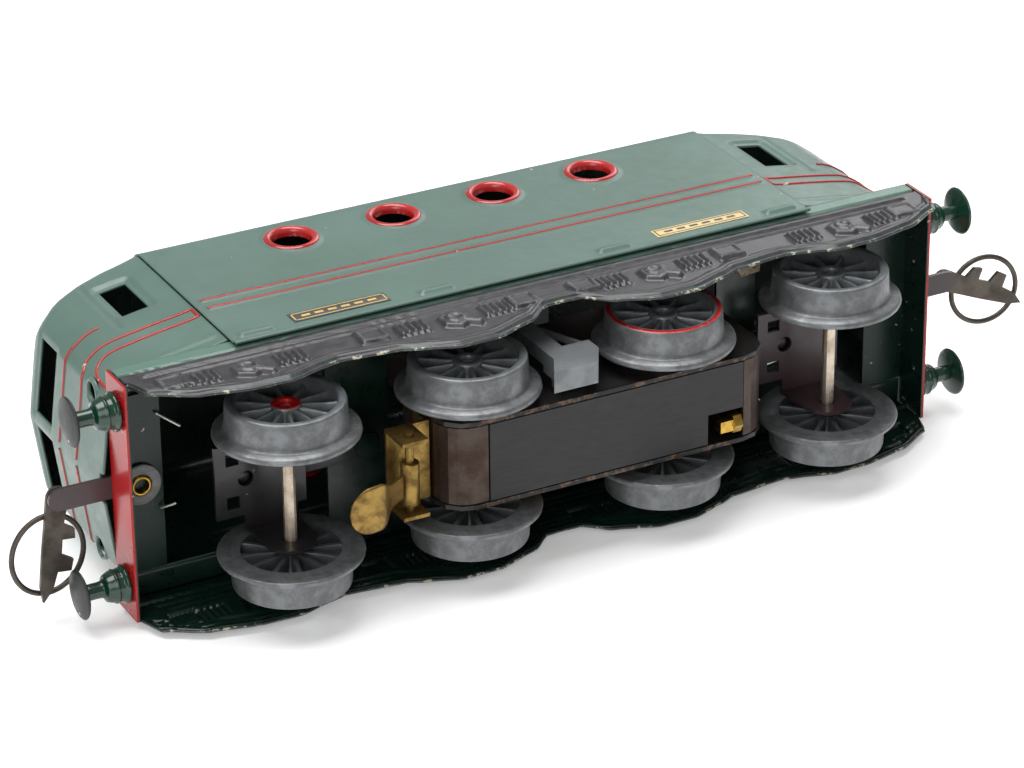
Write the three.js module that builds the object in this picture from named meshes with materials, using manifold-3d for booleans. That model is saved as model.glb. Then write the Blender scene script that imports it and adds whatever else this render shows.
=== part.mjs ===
// Model electric locomotive, O gauge, sheet-metal body on a four-wheel motor with two pony trucks.
// Millimetres, +Z up, X along the length (front cab at -X, left side at -Y), z = 0 at the wheel flanges.
import * as THREE from 'three';
import { mergeVertices } from 'three/addons/utils/BufferGeometryUtils.js';
import Module from 'manifold-3d';

const wasm = await Module();
wasm.setup();

// ---------------------------------------------------------------- named clearances
const FACE_GAP = 0.3;        // between faces that touch on the real model
const RUN_GAP = 0.3;         // radial, shaft in its hole
const CUT_PAST = 2;          // how far a cutter runs past the wall it opens

// ---------------------------------------------------------------- wheels and axles
const FLANGE_R = 15.5;
const FLANGE_W = 1.5;
const TREAD_R = 12.85;
const TREAD_W = 6.3;
const BACK_TO_BACK = 26.8;
const RIM_INNER_R = 10.6;
const WHEEL_HUB_R = 3.2;
const SPOKES = 12;
const SPOKE_T = 0.9;
const SPOKE_W = 4.6;
const WHEEL_SEGMENTS = 24;
const AXLE_R = 1.4;
const AXLE_Z = FLANGE_R;
const DRIVER_X = 23.4;
const PONY_X = 65;
const WHEEL_BACK_Y = BACK_TO_BACK / 2;
const WHEEL_FACE_Y = WHEEL_BACK_Y + FLANGE_W + TREAD_W;

// ---------------------------------------------------------------- body
const BODY_HALF_W = 27.9;
const BODY_BOTTOM = 30.4;
const SHOULDER_Z = 80;
const SHOULDER_R = 5;
const CROWN_RISE = 3;
const WALL = 0.5;
const SEAM_X = 69.1;
const SEAM_GAP = 0.3;
const PORTHOLE_PITCH = 24.6;
const PORTHOLES = 4;
const PORTHOLE_Z = 72;
const PORTHOLE_R = 4.3;
const PORTHOLE_RIM_R = 6.2;
const PORTHOLE_RIM_H = 0.8;
const LINE_Z = [48.6, 52.6];
const LINE_W = 1.2;
const LINE_H = 0.35;
const TAB_X = [21.4, 63];
const TAB_Z = 33.6;
const TAB_SIZE = [8, 0.9, 2.4];

// ---------------------------------------------------------------- cabs
const CAB_STATIONS = [   // distance from the seam, half width, crown height, shoulder radius
  [0, 27.4, 88, 5], [3, 26.8, 87.4, 5], [9, 25.9, 86.1, 4.9], [15, 24.9, 84, 4.6], [20, 23.9, 81.2, 4.2],
  [22.3, 23, 79.6, 3.9], [25.3, 21, 77.3, 3.5], [27, 18.8, 75.8, 3], [28.4, 9, 74.6, 2.4], [29.5, 0.8, 73.6, 0.5]];
const CAB_WALL = 0.8;
const SIDE_WINDOW = [6.6, 12.6, 60.4, 73.4];
const SCREEN = [1.9, 18.6, 62.6, 71];
const SCREEN_DEPTH = 4.5;
const HEADLIGHT_Y = 18.2;
const HEADLIGHT_Z = 43;
const HEADLIGHT_R = 2.1;
const COUPLING_SLOT = [7, 4.6];

// ---------------------------------------------------------------- skirts and headstocks
const SKIRT_FACE_Y = 27.1;
const SKIRT_T = 0.9;
const SKIRT_FLANGE_W = 6.4;
const FLOOR_Z = 34;
const HEADSTOCK_X = 96.5;
const SHEET_T = 0.8;
const SKIRT_EDGE = [[0, 16.9], [4, 16.7], [9.5, 12], [19.5, 8.3], [28, 8.2], [36, 11], [40, 12.8],
  [53, 14.2], [56.8, 13.3], [65, 10.9], [73.5, 11.2], [84.5, 13.6], [93.2, 18.5]];
const AXLEBOX_X = [23.8, 71];
const AXLEBOX_Z = 20;
const AXLEBOX_R = 4.1;
const AXLEBOX_H = 1.5;
const SPRING_REACH = 9.8;
const SPRING_SIZE = [6.6, 1.1, 5.4];
const LOCKER_X = [7.2, 42.5, 87];
const LOCKER_SIZE = [6.4, 1, 5.6];
const HEADSTOCK_HALF_W = 27.1;
const HEADSTOCK_BOTTOM = 24.4;
const HEADSTOCK_FLANGE = 11;

// ---------------------------------------------------------------- buffers and couplings
const BUFFER_Y = 20;
const BUFFER_Z = 29.2;
const BUFFER_L = 11.4;
const BUFFER_HEAD_R = 5.4;
const BUFFER_BASE_R = 4.2;
const BUFFER_STEM_R = 2.5;
const DRAWBAR_Z = 34.6;
const DRAWBAR_T = 0.9;
const DRAWBAR_W = 5;
const DRAWBAR_IN_X = 86;
const COUPLING_X = 108;
const COUPLING_PIN_R = 0.9;
const HOOK_LENGTH = 24;
const COUPLING_YAW = [80, 25];
const LOOP_WIRE_R = 0.6;
const LOOP_LONG = 9.2;
const LOOP_WIDE = 8.25;
const LOOP_START = 4.4;
const EYELET_R = 2.4;
const WASHER_R = 4.6;
const WASHER_T = 0.7;

// ---------------------------------------------------------------- motor
const MOTOR_FRONT_X = -33;
const MOTOR_REAR_X = 45;
const MOTOR_TOP = 42;
const MOTOR_BOTTOM = 6.2;
const PLATE_T = 1;
const PLATE_FACE_Y = 10.2;
const PLATE_CORNER = 7;
const COVER_X = [-23.2, 37.8];
const COVER_T = 1;
const COVER_NOTCH = [29.2, 1.9];
const SPACER_T = 0.8;
const SPACER_TOP = 27;
const ARMATURE_X = 6;
const ARMATURE_Z = 23;
const ARMATURE_R = 8.8;
const ARMATURE_HALF_L = 4.6;
const SHAFT_R = 1.2;
const COMMUTATOR_R = 5;
const FIELD_X = [-8, 20];
const FIELD_Z = [12, 41.6];
const FIELD_HALF_W = 4.6;
const COIL_X = [-3.8, 15.8];
const GEAR_FACE_Y = [10.7, 12.5];
const PINION_R = 2.6;
const AXLE_GEAR_R = 6;
const REAR_IDLER_R = 5;
const FRONT_IDLER_R = 10.7;
const MESH_GAP = 0.3;
const TOOTH_H = 0.5;
const BRUSH_POST = [33.4, 5.2];

// ---------------------------------------------------------------- trucks and their links
const TRUCK_ARM_Y = 12.2;
const TRUCK_ARM_R = 5.4;
const TRUCK_WEB_Z = 24.6;
const TRUCK_WEB_X = [-12.5, 8];
const TRUCK_WEB_HALF_W = 8.4;
const LINK_Z = 27.4;
const LINK_T = 0.8;
const LINK_W = 7;
const LINK_PIVOT_X = [-42, 49];
const LINK_PIN_OFFSET = -5.6;
const LINK_PIN_R = 1.5;
const LINK_PIN_L = 15.5;
const BRIDGE_X = [[-48.5, -34.2], [46.2, 56]];
const BRIDGE_T = 0.9;

// ---------------------------------------------------------------- collector
const SHOE_PIVOT = [-40.2, 9.6];
const SHOE_PATH = [[-2.4, -1.2], [-6.5, -4], [-10, -6.8], [-17.5, -7.6]];
const SHOE_T = 0.8;
const SHOE_W = 10.5;
const SHOE_SHIFT_Y = 1.8;
const SHOE_HUB_R = 2;
const SHOE_PIN_R = 0.9;
const COLLECTOR_EAR_Y = 9;

// ---------------------------------------------------------------- side casting, cork pad
const CASTING_Y = [-18.7, -13.7];
const CORK = [52.4, -18.4];
const CORK_T = 2.2;

// ---------------------------------------------------------------- pantographs
const PANTO_X = 44;
const PANTO_BASE = [30, 20, 1.2];
const PANTO_ARM_L = 30;
const PANTO_TUBE_R = 0.7;
const PANTO_HALF_W = 8;
const INSULATOR_H = 2.2;

// ---------------------------------------------------------------- materials
const paint = (color, roughness = 0.4, metalness = 0) => ({ color, roughness, metalness });
const GREEN = paint(0x4c6f62);
const DARK_GREEN = paint(0x12392a);
const BLACK = paint(0x2a292b, 0.55);
const RED = paint(0xa51f1d);
const ZINC = paint(0x767a7a, 0.5, 0.6);
const STEEL = paint(0xa59c8c, 0.35, 0.9);
const BRONZE = paint(0x4a443d, 0.5, 0.7);
const BRASS = paint(0xb8913e, 0.35, 0.9);
const COPPER = paint(0x9a5b32, 0.4, 0.8);
const FIBRE = paint(0x2e2e30, 0.8);
const CORK_TAN = paint(0xb9a27c, 0.9);

const model = new THREE.Group();
model.name = 'model_locomotive';

// ---------------------------------------------------------------- solid helpers
function toManifold(geometry) {
  const bare = geometry.clone();
  bare.deleteAttribute('normal');
  bare.deleteAttribute('uv');
  const merged = mergeVertices(bare, 1e-4);
  return new wasm.Manifold(new wasm.Mesh({
    numProp: 3,
    vertProperties: new Float32Array(merged.attributes.position.array),
    triVerts: new Uint32Array(merged.index.array),
  }));
}

function toGeometry(solid) {
  const mesh = solid.getMesh();
  const geometry = new THREE.BufferGeometry();
  geometry.setAttribute('position', new THREE.BufferAttribute(new Float32Array(mesh.vertProperties), 3));
  geometry.setIndex(new THREE.BufferAttribute(new Uint32Array(mesh.triVerts), 1));
  const flat = geometry.toNonIndexed();
  flat.computeVertexNormals();
  return flat;
}

function add(name, solid, look, parent = model) {
  const material = new THREE.MeshStandardMaterial(look);
  const mesh = new THREE.Mesh(solid.isBufferGeometry ? solid : toGeometry(solid), material);
  mesh.name = name;
  parent.add(mesh);
  return mesh;
}

// A closed prism of an outline. Along z the outline is (x, y), along y it is (x, z), along x it is (y, z).
function prismGeometry(axis, points, from, to, holes = []) {
  const shape = new THREE.Shape(points.map(([u, v]) => new THREE.Vector2(u, v)));
  for (const hole of holes) {
    shape.holes.push(new THREE.Path(hole.map(([u, v]) => new THREE.Vector2(u, v))));
  }
  const geometry = new THREE.ExtrudeGeometry(shape, { depth: to - from, bevelEnabled: false, steps: 1 });
  const turn = new THREE.Matrix4();
  if (axis === 'x') {
    geometry.translate(0, 0, from);
    turn.makeBasis(new THREE.Vector3(0, 1, 0), new THREE.Vector3(0, 0, 1), new THREE.Vector3(1, 0, 0));
  } else if (axis === 'y') {
    geometry.translate(0, 0, -to);
    turn.makeBasis(new THREE.Vector3(1, 0, 0), new THREE.Vector3(0, 0, 1), new THREE.Vector3(0, -1, 0));
  } else {
    geometry.translate(0, 0, from);
  }
  return geometry.applyMatrix4(turn);
}

const prism = (axis, points, from, to, holes) => toManifold(prismGeometry(axis, points, from, to, holes));

const rect = (u0, u1, v0, v1) => [[u0, v0], [u1, v0], [u1, v1], [u0, v1]];

const block = (x0, x1, y0, y1, z0, z1) => prism('z', rect(x0, x1, y0, y1), z0, z1);

function circle(u, v, r, segments) {
  return Array.from({ length: segments }, (_, i) => {
    const a = (i + 0.5) * 2 * Math.PI / segments;
    return [u + r * Math.cos(a), v + r * Math.sin(a)];
  });
}

const rod = (axis, u, v, r, from, to, segments = 12) => prism(axis, circle(u, v, r, segments), from, to);

// A turned piece about the y axis from (radius, y) points that start and end on the axis.
function turnedY(profile, segments) {
  return new THREE.LatheGeometry(profile.map(([r, y]) => new THREE.Vector2(r, y)), segments);
}

function union(solids) {
  return solids.reduce((sum, solid) => sum.add(solid));
}

function mirrorX(points) {
  return points.map(([u, v]) => [-u, v]).reverse();
}

// A strip of constant thickness along an open path, as a closed outline.
function strip(path, thickness) {
  const side = (sign) => path.map(([u, v], i) => {
    const [pu, pv] = path[Math.max(i - 1, 0)];
    const [nu, nv] = path[Math.min(i + 1, path.length - 1)];
    const length = Math.hypot(nu - pu, nv - pv);
    return [u - sign * (nv - pv) / length * thickness / 2, v + sign * (nu - pu) / length * thickness / 2];
  });
  return [...side(-1), ...side(1).reverse()];
}

function wire(points, radius, segments, closed) {
  const curve = new THREE.CatmullRomCurve3(points.map((p) => new THREE.Vector3(...p)), closed);
  const section = new THREE.Shape(circle(0, 0, radius, 6).map(([u, v]) => new THREE.Vector2(u, v)));
  return new THREE.ExtrudeGeometry(section, { steps: segments, extrudePath: curve, bevelEnabled: false });
}

// ---------------------------------------------------------------- body shell and cabs
function section(half, shoulderZ, radius, crownZ, bottom) {
  const right = [[half, bottom]];
  for (let i = 0; i <= 4; i += 1) {
    const a = i / 4 * Math.PI * 0.43;
    right.push([half - radius + radius * Math.cos(a), shoulderZ + radius * Math.sin(a)]);
  }
  const [edgeY, edgeZ] = right[right.length - 1];
  for (let i = 1; i <= 3; i += 1) {
    const t = i / 4;
    right.push([edgeY * (1 - t), edgeZ + (crownZ - edgeZ) * (1 - (1 - t) ** 2)]);
  }
  return [...right, [0, crownZ], ...mirrorX(right)];
}

function bodySection(inset, bottom) {
  const crown = SHOULDER_Z + SHOULDER_R + CROWN_RISE;
  return section(BODY_HALF_W - inset, SHOULDER_Z, SHOULDER_R - inset, crown - inset, bottom);
}

function sideLines(sign, x0, x1) {
  return LINE_Z.map((z) => block(x0, x1, sign * BODY_HALF_W - LINE_H, sign * BODY_HALF_W + LINE_H,
    z - LINE_W / 2, z + LINE_W / 2));
}

function bodyShell() {
  const end = SEAM_X - SEAM_GAP / 2;
  let shell = prism('x', bodySection(0, BODY_BOTTOM), -end, end);
  const parts = [];
  const cuts = [prism('x', bodySection(WALL, BODY_BOTTOM - CUT_PAST), -end - CUT_PAST, end + CUT_PAST)];
  for (const sign of [-1, 1]) {
    parts.push(...sideLines(sign, -end, end));
    for (const x of [...TAB_X, ...TAB_X.map((v) => -v)]) {
      const [w, d, h] = TAB_SIZE;
      const y = sign * BODY_HALF_W;
      parts.push(block(x - w / 2, x + w / 2, y - d, y + d, TAB_Z - h / 2, TAB_Z + h / 2));
    }
    for (let i = 0; i < PORTHOLES; i += 1) {
      const x = (i - (PORTHOLES - 1) / 2) * PORTHOLE_PITCH;
      const y = sign * BODY_HALF_W;
      parts.push(rod('y', x, PORTHOLE_Z, PORTHOLE_RIM_R, y - PORTHOLE_RIM_H, y + PORTHOLE_RIM_H, 14));
      cuts.push(rod('y', x, PORTHOLE_Z, PORTHOLE_R, y - CUT_PAST, y + CUT_PAST, 14));
    }
  }
  shell = shell.add(union(parts)).subtract(union(cuts));
  add('body_shell', shell, GREEN);
}

// A closed solid through one outline per station; every outline has the same number of points.
function loft(stations, outlines) {
  const count = outlines[0].length;
  const vertices = [];
  stations.forEach((x, i) => outlines[i].forEach(([y, z]) => vertices.push(x, y, z)));
  const triangles = [];
  for (let i = 0; i + 1 < stations.length; i += 1) {
    for (let j = 0; j < count; j += 1) {
      const a = i * count + j;
      const b = i * count + (j + 1) % count;
      triangles.push(a, a + count, b, b, a + count, b + count);
    }
  }
  const last = (stations.length - 1) * count;
  for (let j = 1; j + 1 < count; j += 1) {
    triangles.push(0, j, j + 1, last, last + j + 1, last + j);
  }
  return new wasm.Manifold(new wasm.Mesh({
    numProp: 3,
    vertProperties: new Float32Array(vertices),
    triVerts: new Uint32Array(triangles).reverse(),
  }));
}

function cabForm(inset, bottom) {
  const [seamT, noseT] = [CAB_STATIONS[0][0], CAB_STATIONS.at(-1)[0]];
  const stations = [];
  const outlines = [];
  for (const [t, half, crown, radius] of CAB_STATIONS) {
    const rise = radius + CROWN_RISE * (half / CAB_STATIONS[0][1]) ** 2;
    const width = Math.max(half - inset, half * 0.3);
    const corner = Math.min(Math.max(radius - inset, 0.2), width * 0.7);
    outlines.push(section(width, crown - rise, corner, crown - inset, bottom));
    stations.push(SEAM_X + SEAM_GAP / 2 + t * (noseT - inset) / (noseT - seamT));
  }
  if (inset > 0) {
    stations.unshift(SEAM_X + SEAM_GAP / 2 - CUT_PAST);
    outlines.unshift(outlines[0]);
  }
  return loft(stations, outlines);
}

function cab(name, sign) {
  const bottom = FLOOR_Z + FACE_GAP;
  const nose = SEAM_X + CAB_STATIONS.at(-1)[0];
  const cuts = [cabForm(CAB_WALL, bottom - CUT_PAST)];
  const [t0, t1, w0, w1] = SIDE_WINDOW;
  cuts.push(block(SEAM_X + t0, SEAM_X + t1, -BODY_HALF_W - CUT_PAST, BODY_HALF_W + CUT_PAST, w0, w1));
  const [y0, y1, s0, s1] = SCREEN;
  const faceBack = nose - SCREEN_DEPTH;
  for (const s of [-1, 1]) {
    cuts.push(block(faceBack, nose + CUT_PAST, Math.min(s * y0, s * y1), Math.max(s * y0, s * y1), s0, s1));
    cuts.push(rod('x', s * HEADLIGHT_Y, HEADLIGHT_Z, HEADLIGHT_R, faceBack, nose + CUT_PAST));
  }
  const [slotHalf, slotH] = COUPLING_SLOT;
  cuts.push(block(faceBack, nose + CUT_PAST, -slotHalf, slotHalf, bottom - CUT_PAST, bottom + slotH));
  const mesh = add(name, cabForm(0, bottom).subtract(union(cuts)), GREEN);
  mesh.rotation.z = sign < 0 ? Math.PI : 0;
}

// ---------------------------------------------------------------- skirts and headstocks
function skirt(name, sign) {
  const top = FLOOR_Z;
  const edge = [...mirrorX(SKIRT_EDGE.slice(1)), ...SKIRT_EDGE];
  const end = HEADSTOCK_X - SHEET_T - FACE_GAP;
  const outline = [[-end, top], [-end, HEADSTOCK_BOTTOM], ...edge, [end, HEADSTOCK_BOTTOM], [end, top]];
  const inner = SKIRT_FACE_Y - SKIRT_T;
  const parts = [prism('y', outline, inner, SKIRT_FACE_Y)];
  parts.push(block(-end, end, SKIRT_FACE_Y - SKIRT_FLANGE_W, SKIRT_FACE_Y, top - SHEET_T, top));
  const relief = ([w, d, h], x, z) => block(x - w / 2, x + w / 2, inner, SKIRT_FACE_Y + d, z - h / 2, z + h / 2);
  for (const x of AXLEBOX_X.flatMap((v) => [-v, v])) {
    parts.push(rod('y', x, AXLEBOX_Z, AXLEBOX_R, inner, SKIRT_FACE_Y + AXLEBOX_H, 8));
    parts.push(relief(SPRING_SIZE, x - SPRING_REACH, AXLEBOX_Z + 0.6));
    parts.push(relief(SPRING_SIZE, x + SPRING_REACH, AXLEBOX_Z + 0.6));
  }
  for (const x of LOCKER_X.flatMap((v) => [-v, v])) {
    parts.push(relief(LOCKER_SIZE, x, AXLEBOX_Z + 1.5));
  }
  const mesh = add(name, union(parts), BLACK);
  mesh.rotation.z = sign < 0 ? Math.PI : 0;
}

function headstock(name, sign) {
  const face = HEADSTOCK_X - SHEET_T;
  const front = block(face, HEADSTOCK_X, -HEADSTOCK_HALF_W, HEADSTOCK_HALF_W, HEADSTOCK_BOTTOM, FLOOR_Z);
  const flangeHalf = SKIRT_FACE_Y - SKIRT_FLANGE_W - FACE_GAP;
  const flange = block(HEADSTOCK_X - HEADSTOCK_FLANGE, HEADSTOCK_X, -flangeHalf, flangeHalf,
    FLOOR_Z - SHEET_T, FLOOR_Z);
  const solid = front.add(flange);
  const mesh = add(name, solid, RED);
  mesh.rotation.z = sign < 0 ? Math.PI : 0;
}

function buffer(name, end, side, look) {
  const x0 = FACE_GAP;
  const head = BUFFER_L - 1.5;
  const profile = [[0, x0], [BUFFER_BASE_R, x0], [BUFFER_BASE_R, x0 + 1], [BUFFER_BASE_R - 0.9, x0 + 1.6],
    [BUFFER_STEM_R + 0.5, x0 + 4.4], [BUFFER_STEM_R, x0 + 4.6], [BUFFER_STEM_R, head - 0.5],
    [BUFFER_HEAD_R, head], [BUFFER_HEAD_R, head + 0.8], [BUFFER_HEAD_R - 1.9, BUFFER_L], [0, BUFFER_L]];
  const mesh = add(name, turnedY(profile, 14), look);
  mesh.rotation.z = -end * Math.PI / 2;
  mesh.position.set(end * HEADSTOCK_X, side * BUFFER_Y, BUFFER_Z);
}

// ---------------------------------------------------------------- couplings
function drawbar(name, sign) {
  const z0 = DRAWBAR_Z - DRAWBAR_T / 2;
  const half = DRAWBAR_W / 2;
  const bar = block(DRAWBAR_IN_X, COUPLING_X, -half, half, z0, z0 + DRAWBAR_T);
  const eye = rod('z', COUPLING_X, 0, half, z0, z0 + DRAWBAR_T, 16);
  const pin = rod('z', COUPLING_X, 0, COUPLING_PIN_R, z0, z0 + DRAWBAR_T + 2.4, 10);
  const mesh = add(name, union([bar, eye, pin]), BRONZE);
  mesh.rotation.z = sign < 0 ? Math.PI : 0;
}

function coupling(prefix, sign, yawDegrees) {
  const holder = new THREE.Group();
  const z0 = DRAWBAR_T / 2 + FACE_GAP;
  const half = DRAWBAR_W / 2;
  holder.position.set(sign * COUPLING_X, 0, DRAWBAR_Z);
  const outward = sign < 0 ? Math.PI : 0;
  holder.rotation.z = outward + sign * THREE.MathUtils.degToRad(yawDegrees);
  model.add(holder);
  const barb = [[0, -half], [6, -2.1], [7.2, -4.6], [9.4, -5], [9.6, -2.2], [13, -2.4], [14.2, -5.2],
    [16.8, -5], [17, -2], [21, -1.4], [HOOK_LENGTH, 0.4], [20.4, 1.5], [12, 2], [6, 2.2], [0, half]];
  const plate = prism('z', barb, z0, z0 + DRAWBAR_T).add(rod('z', 0, 0, half, z0, z0 + DRAWBAR_T, 16));
  const lug = block(LOOP_START - 1.4, LOOP_START - 0.9, -1.6, 1.6, z0, z0 + DRAWBAR_T + 1.6);
  const bore = rod('z', 0, 0, COUPLING_PIN_R + RUN_GAP, z0 - 1, z0 + DRAWBAR_T + 1, 12);
  add(`${prefix}_hook`, plate.add(lug).subtract(bore), BRONZE, holder);
  const lift = DRAWBAR_T / 2 + FACE_GAP + DRAWBAR_T + FACE_GAP + LOOP_WIRE_R;
  const centre = LOOP_START + LOOP_LONG;
  const path = [];
  for (let i = 0; i < 12; i += 1) {
    const a = Math.PI + i * Math.PI / 6;
    path.push([centre + LOOP_LONG * Math.cos(a), LOOP_WIDE * Math.sin(a), lift]);
  }
  add(`${prefix}_loop`, toManifold(wire(path, LOOP_WIRE_R, 20, true)), BRONZE, holder);
}

function eyelet() {
  const z1 = FLOOR_Z - SHEET_T - FACE_GAP;
  const x = -(HEADSTOCK_X - SHEET_T - FACE_GAP - WASHER_R);
  const outer = circle(x, 0, WASHER_R, 16);
  const washer = prism('z', outer, z1 - WASHER_T, z1);
  const ring = rod('z', x, 0, EYELET_R, z1 - WASHER_T - 0.6, z1, 12);
  const hole = rod('z', x, 0, EYELET_R - 0.9, z1 - WASHER_T - 2, z1 + 1, 12);
  add('front_washer', washer.add(ring).subtract(hole), BRASS);
}

// ---------------------------------------------------------------- wheels and axles
function wheel(name, x, side) {
  const width = FLANGE_W + TREAD_W;
  const profile = [[RIM_INNER_R, 0], [FLANGE_R, 0], [FLANGE_R - 0.3, FLANGE_W],
    [TREAD_R, FLANGE_W + 0.3], [TREAD_R - 0.3, width], [RIM_INNER_R, width], [RIM_INNER_R, 0]];
  const rim = toManifold(turnedY(profile, WHEEL_SEGMENTS));
  const hub = rod('y', 0, 0, WHEEL_HUB_R, 0, width - 0.8, 12);
  const spokes = [];
  for (let i = 0; i < SPOKES / 2; i += 1) {
    const across = RIM_INNER_R + 0.6;
    const bar = prismGeometry('y', rect(-across, across, -SPOKE_T / 2, SPOKE_T / 2), 0.4, 0.4 + SPOKE_W);
    bar.rotateY(i * 2 * Math.PI / SPOKES);
    spokes.push(toManifold(bar));
  }
  const bore = rod('y', 0, 0, AXLE_R + 0.05 + FACE_GAP, -CUT_PAST, width - 1.6, 12);
  const mesh = add(name, union([rim, hub, ...spokes]).subtract(bore), ZINC);
  mesh.position.set(x, side * WHEEL_BACK_Y, AXLE_Z);
  mesh.rotation.x = side < 0 ? Math.PI : 0;
}

function axle(name, x) {
  const half = WHEEL_FACE_Y - 1.6 - FACE_GAP;
  add(name, rod('y', x, AXLE_Z, AXLE_R, -half, half, 12), STEEL);
}

function wheelset(prefix, x) {
  axle(`${prefix}_axle`, x);
  wheel(`${prefix}_left_wheel`, x, -1);
  wheel(`${prefix}_right_wheel`, x, 1);
}

// ---------------------------------------------------------------- motor
function plateOutline() {
  const points = [];
  const corner = (cx, cz, from) => {
    for (let i = 0; i <= 3; i += 1) {
      const a = from + i * Math.PI / 6;
      points.push([cx + PLATE_CORNER * Math.cos(a), cz + PLATE_CORNER * Math.sin(a)]);
    }
  };
  corner(MOTOR_FRONT_X + PLATE_CORNER, MOTOR_BOTTOM + PLATE_CORNER, Math.PI);
  corner(MOTOR_REAR_X - PLATE_CORNER, MOTOR_BOTTOM + PLATE_CORNER, 1.5 * Math.PI);
  points.push([MOTOR_REAR_X, MOTOR_TOP], [MOTOR_FRONT_X, MOTOR_TOP]);
  return points;
}

function motorPlate(name, side) {
  const inner = PLATE_FACE_Y - PLATE_T;
  const [y0, y1] = side < 0 ? [-PLATE_FACE_Y, -inner] : [inner, PLATE_FACE_Y];
  const holes = [-DRIVER_X, DRIVER_X].map((x) => circle(x, AXLE_Z, AXLE_R + RUN_GAP, 16));
  holes.push(circle(ARMATURE_X, ARMATURE_Z, SHAFT_R + RUN_GAP, 16));
  if (side > 0) {
    for (const [x, z] of idlerCentres()) {
      holes.push(circle(x, z, SHAFT_R + RUN_GAP, 12));
    }
  }
  add(name, prism('y', plateOutline(), y0, y1, holes), BLACK);
}

function spacer(name, x, inward) {
  const half = PLATE_FACE_Y - PLATE_T - FACE_GAP;
  const path = [];
  for (let i = 0; i <= 5; i += 1) {
    const a = i / 5 * Math.PI / 2;
    path.push([x + inward * (PLATE_CORNER - (PLATE_CORNER - 0.6) * Math.sin(a)),
      MOTOR_BOTTOM + PLATE_CORNER - (PLATE_CORNER - 0.6) * Math.cos(a)]);
  }
  path.push([x + inward * 0.6, SPACER_TOP]);
  const start = x < 0 ? COVER_X[0] - FACE_GAP : COVER_X[1] + FACE_GAP;
  if (Math.abs(start - path[0][0]) > 0.5) {
    path.unshift([start, path[0][1]]);
  }
  add(name, prism('y', strip(path, SPACER_T), -half, half), BRONZE);
}

function bottomCover() {
  const half = PLATE_FACE_Y - PLATE_T - FACE_GAP;
  const [x0, x1] = COVER_X;
  const [nx, ny] = COVER_NOTCH;
  const outline = [[x0, -half], [x1, -half], [x1, ny], [nx, ny], [nx, half], [x0, half]];
  add('bottom_cover', prism('z', outline, MOTOR_BOTTOM, MOTOR_BOTTOM + COVER_T), FIBRE);
}

function fieldAndCoil() {
  const [x0, x1] = FIELD_X;
  const [z0, z1] = FIELD_Z;
  const [c0, c1] = COIL_X;
  const bore = rod('y', ARMATURE_X, ARMATURE_Z, ARMATURE_R + 0.6, -FIELD_HALF_W - 1, FIELD_HALF_W + 1, 28);
  const yokeZ = z1 - 4.6;
  const window = block(c0 - FACE_GAP, c1 + FACE_GAP, -FIELD_HALF_W - 1, FIELD_HALF_W + 1,
    ARMATURE_Z + ARMATURE_R, yokeZ);
  const core = block(x0, x1, -FIELD_HALF_W, FIELD_HALF_W, z0, z1);
  add('field_magnet', core.subtract(bore.add(window)), STEEL);
  const coilHalf = PLATE_FACE_Y - PLATE_T - FACE_GAP - 0.4;
  const coil = block(c0, c1, -coilHalf, coilHalf, yokeZ - 2.6, z1 + 3);
  const through = block(c0 - 1, c1 + 1, -FIELD_HALF_W - FACE_GAP, FIELD_HALF_W + FACE_GAP,
    yokeZ - FACE_GAP, z1 + FACE_GAP);
  add('field_coil', coil.subtract(through), COPPER);
}

function armature() {
  const half = ARMATURE_HALF_L;
  const drum = rod('y', ARMATURE_X, ARMATURE_Z, ARMATURE_R, -half, half, 27);
  const slots = [];
  for (let i = 0; i < 3; i += 1) {
    const a = Math.PI / 2 + i * 2 * Math.PI / 3;
    const r = ARMATURE_R - 1;
    slots.push(rod('y', ARMATURE_X + r * Math.cos(a), ARMATURE_Z + r * Math.sin(a), 2.2, -half - 1, half + 1, 8));
  }
  const shaft = rod('y', ARMATURE_X, ARMATURE_Z, SHAFT_R, -PLATE_FACE_Y - 0.8, GEAR_FACE_Y[1] - 0.2, 10);
  const commutator = rod('y', ARMATURE_X, ARMATURE_Z, COMMUTATOR_R, -half - 2.6, -half, 18);
  const pinion = prism('y', gearOutline(ARMATURE_X, ARMATURE_Z, PINION_R), GEAR_FACE_Y[0], GEAR_FACE_Y[1]);
  const drumCut = drum.subtract(union(slots));
  add('armature', union([drumCut, commutator, shaft, pinion]), COPPER);
}

function gearOutline(x, z, radius) {
  const teeth = Math.round(radius * 4);
  return Array.from({ length: teeth * 2 }, (_, i) => {
    const a = i * Math.PI / teeth;
    const r = i % 2 ? radius : radius - TOOTH_H;
    return [x + r * Math.cos(a), z + r * Math.sin(a)];
  });
}

// The idler whose rim touches both the pinion and the axle gear, on the upper side of the line between them.
function idlerCentre(axleX, radius) {
  const toPinion = PINION_R + radius + MESH_GAP;
  const toAxle = AXLE_GEAR_R + radius + MESH_GAP;
  const dx = axleX - ARMATURE_X;
  const dz = AXLE_Z - ARMATURE_Z;
  const span = Math.hypot(dx, dz);
  const along = (toPinion ** 2 - toAxle ** 2 + span ** 2) / (2 * span);
  const across = Math.sqrt(Math.max(toPinion ** 2 - along ** 2, 0)) * Math.sign(dx);
  return [ARMATURE_X + (dx * along - dz * across) / span, ARMATURE_Z + (dz * along + dx * across) / span];
}

function idlerCentres() {
  return [idlerCentre(-DRIVER_X, FRONT_IDLER_R), idlerCentre(DRIVER_X, REAR_IDLER_R)];
}

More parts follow.
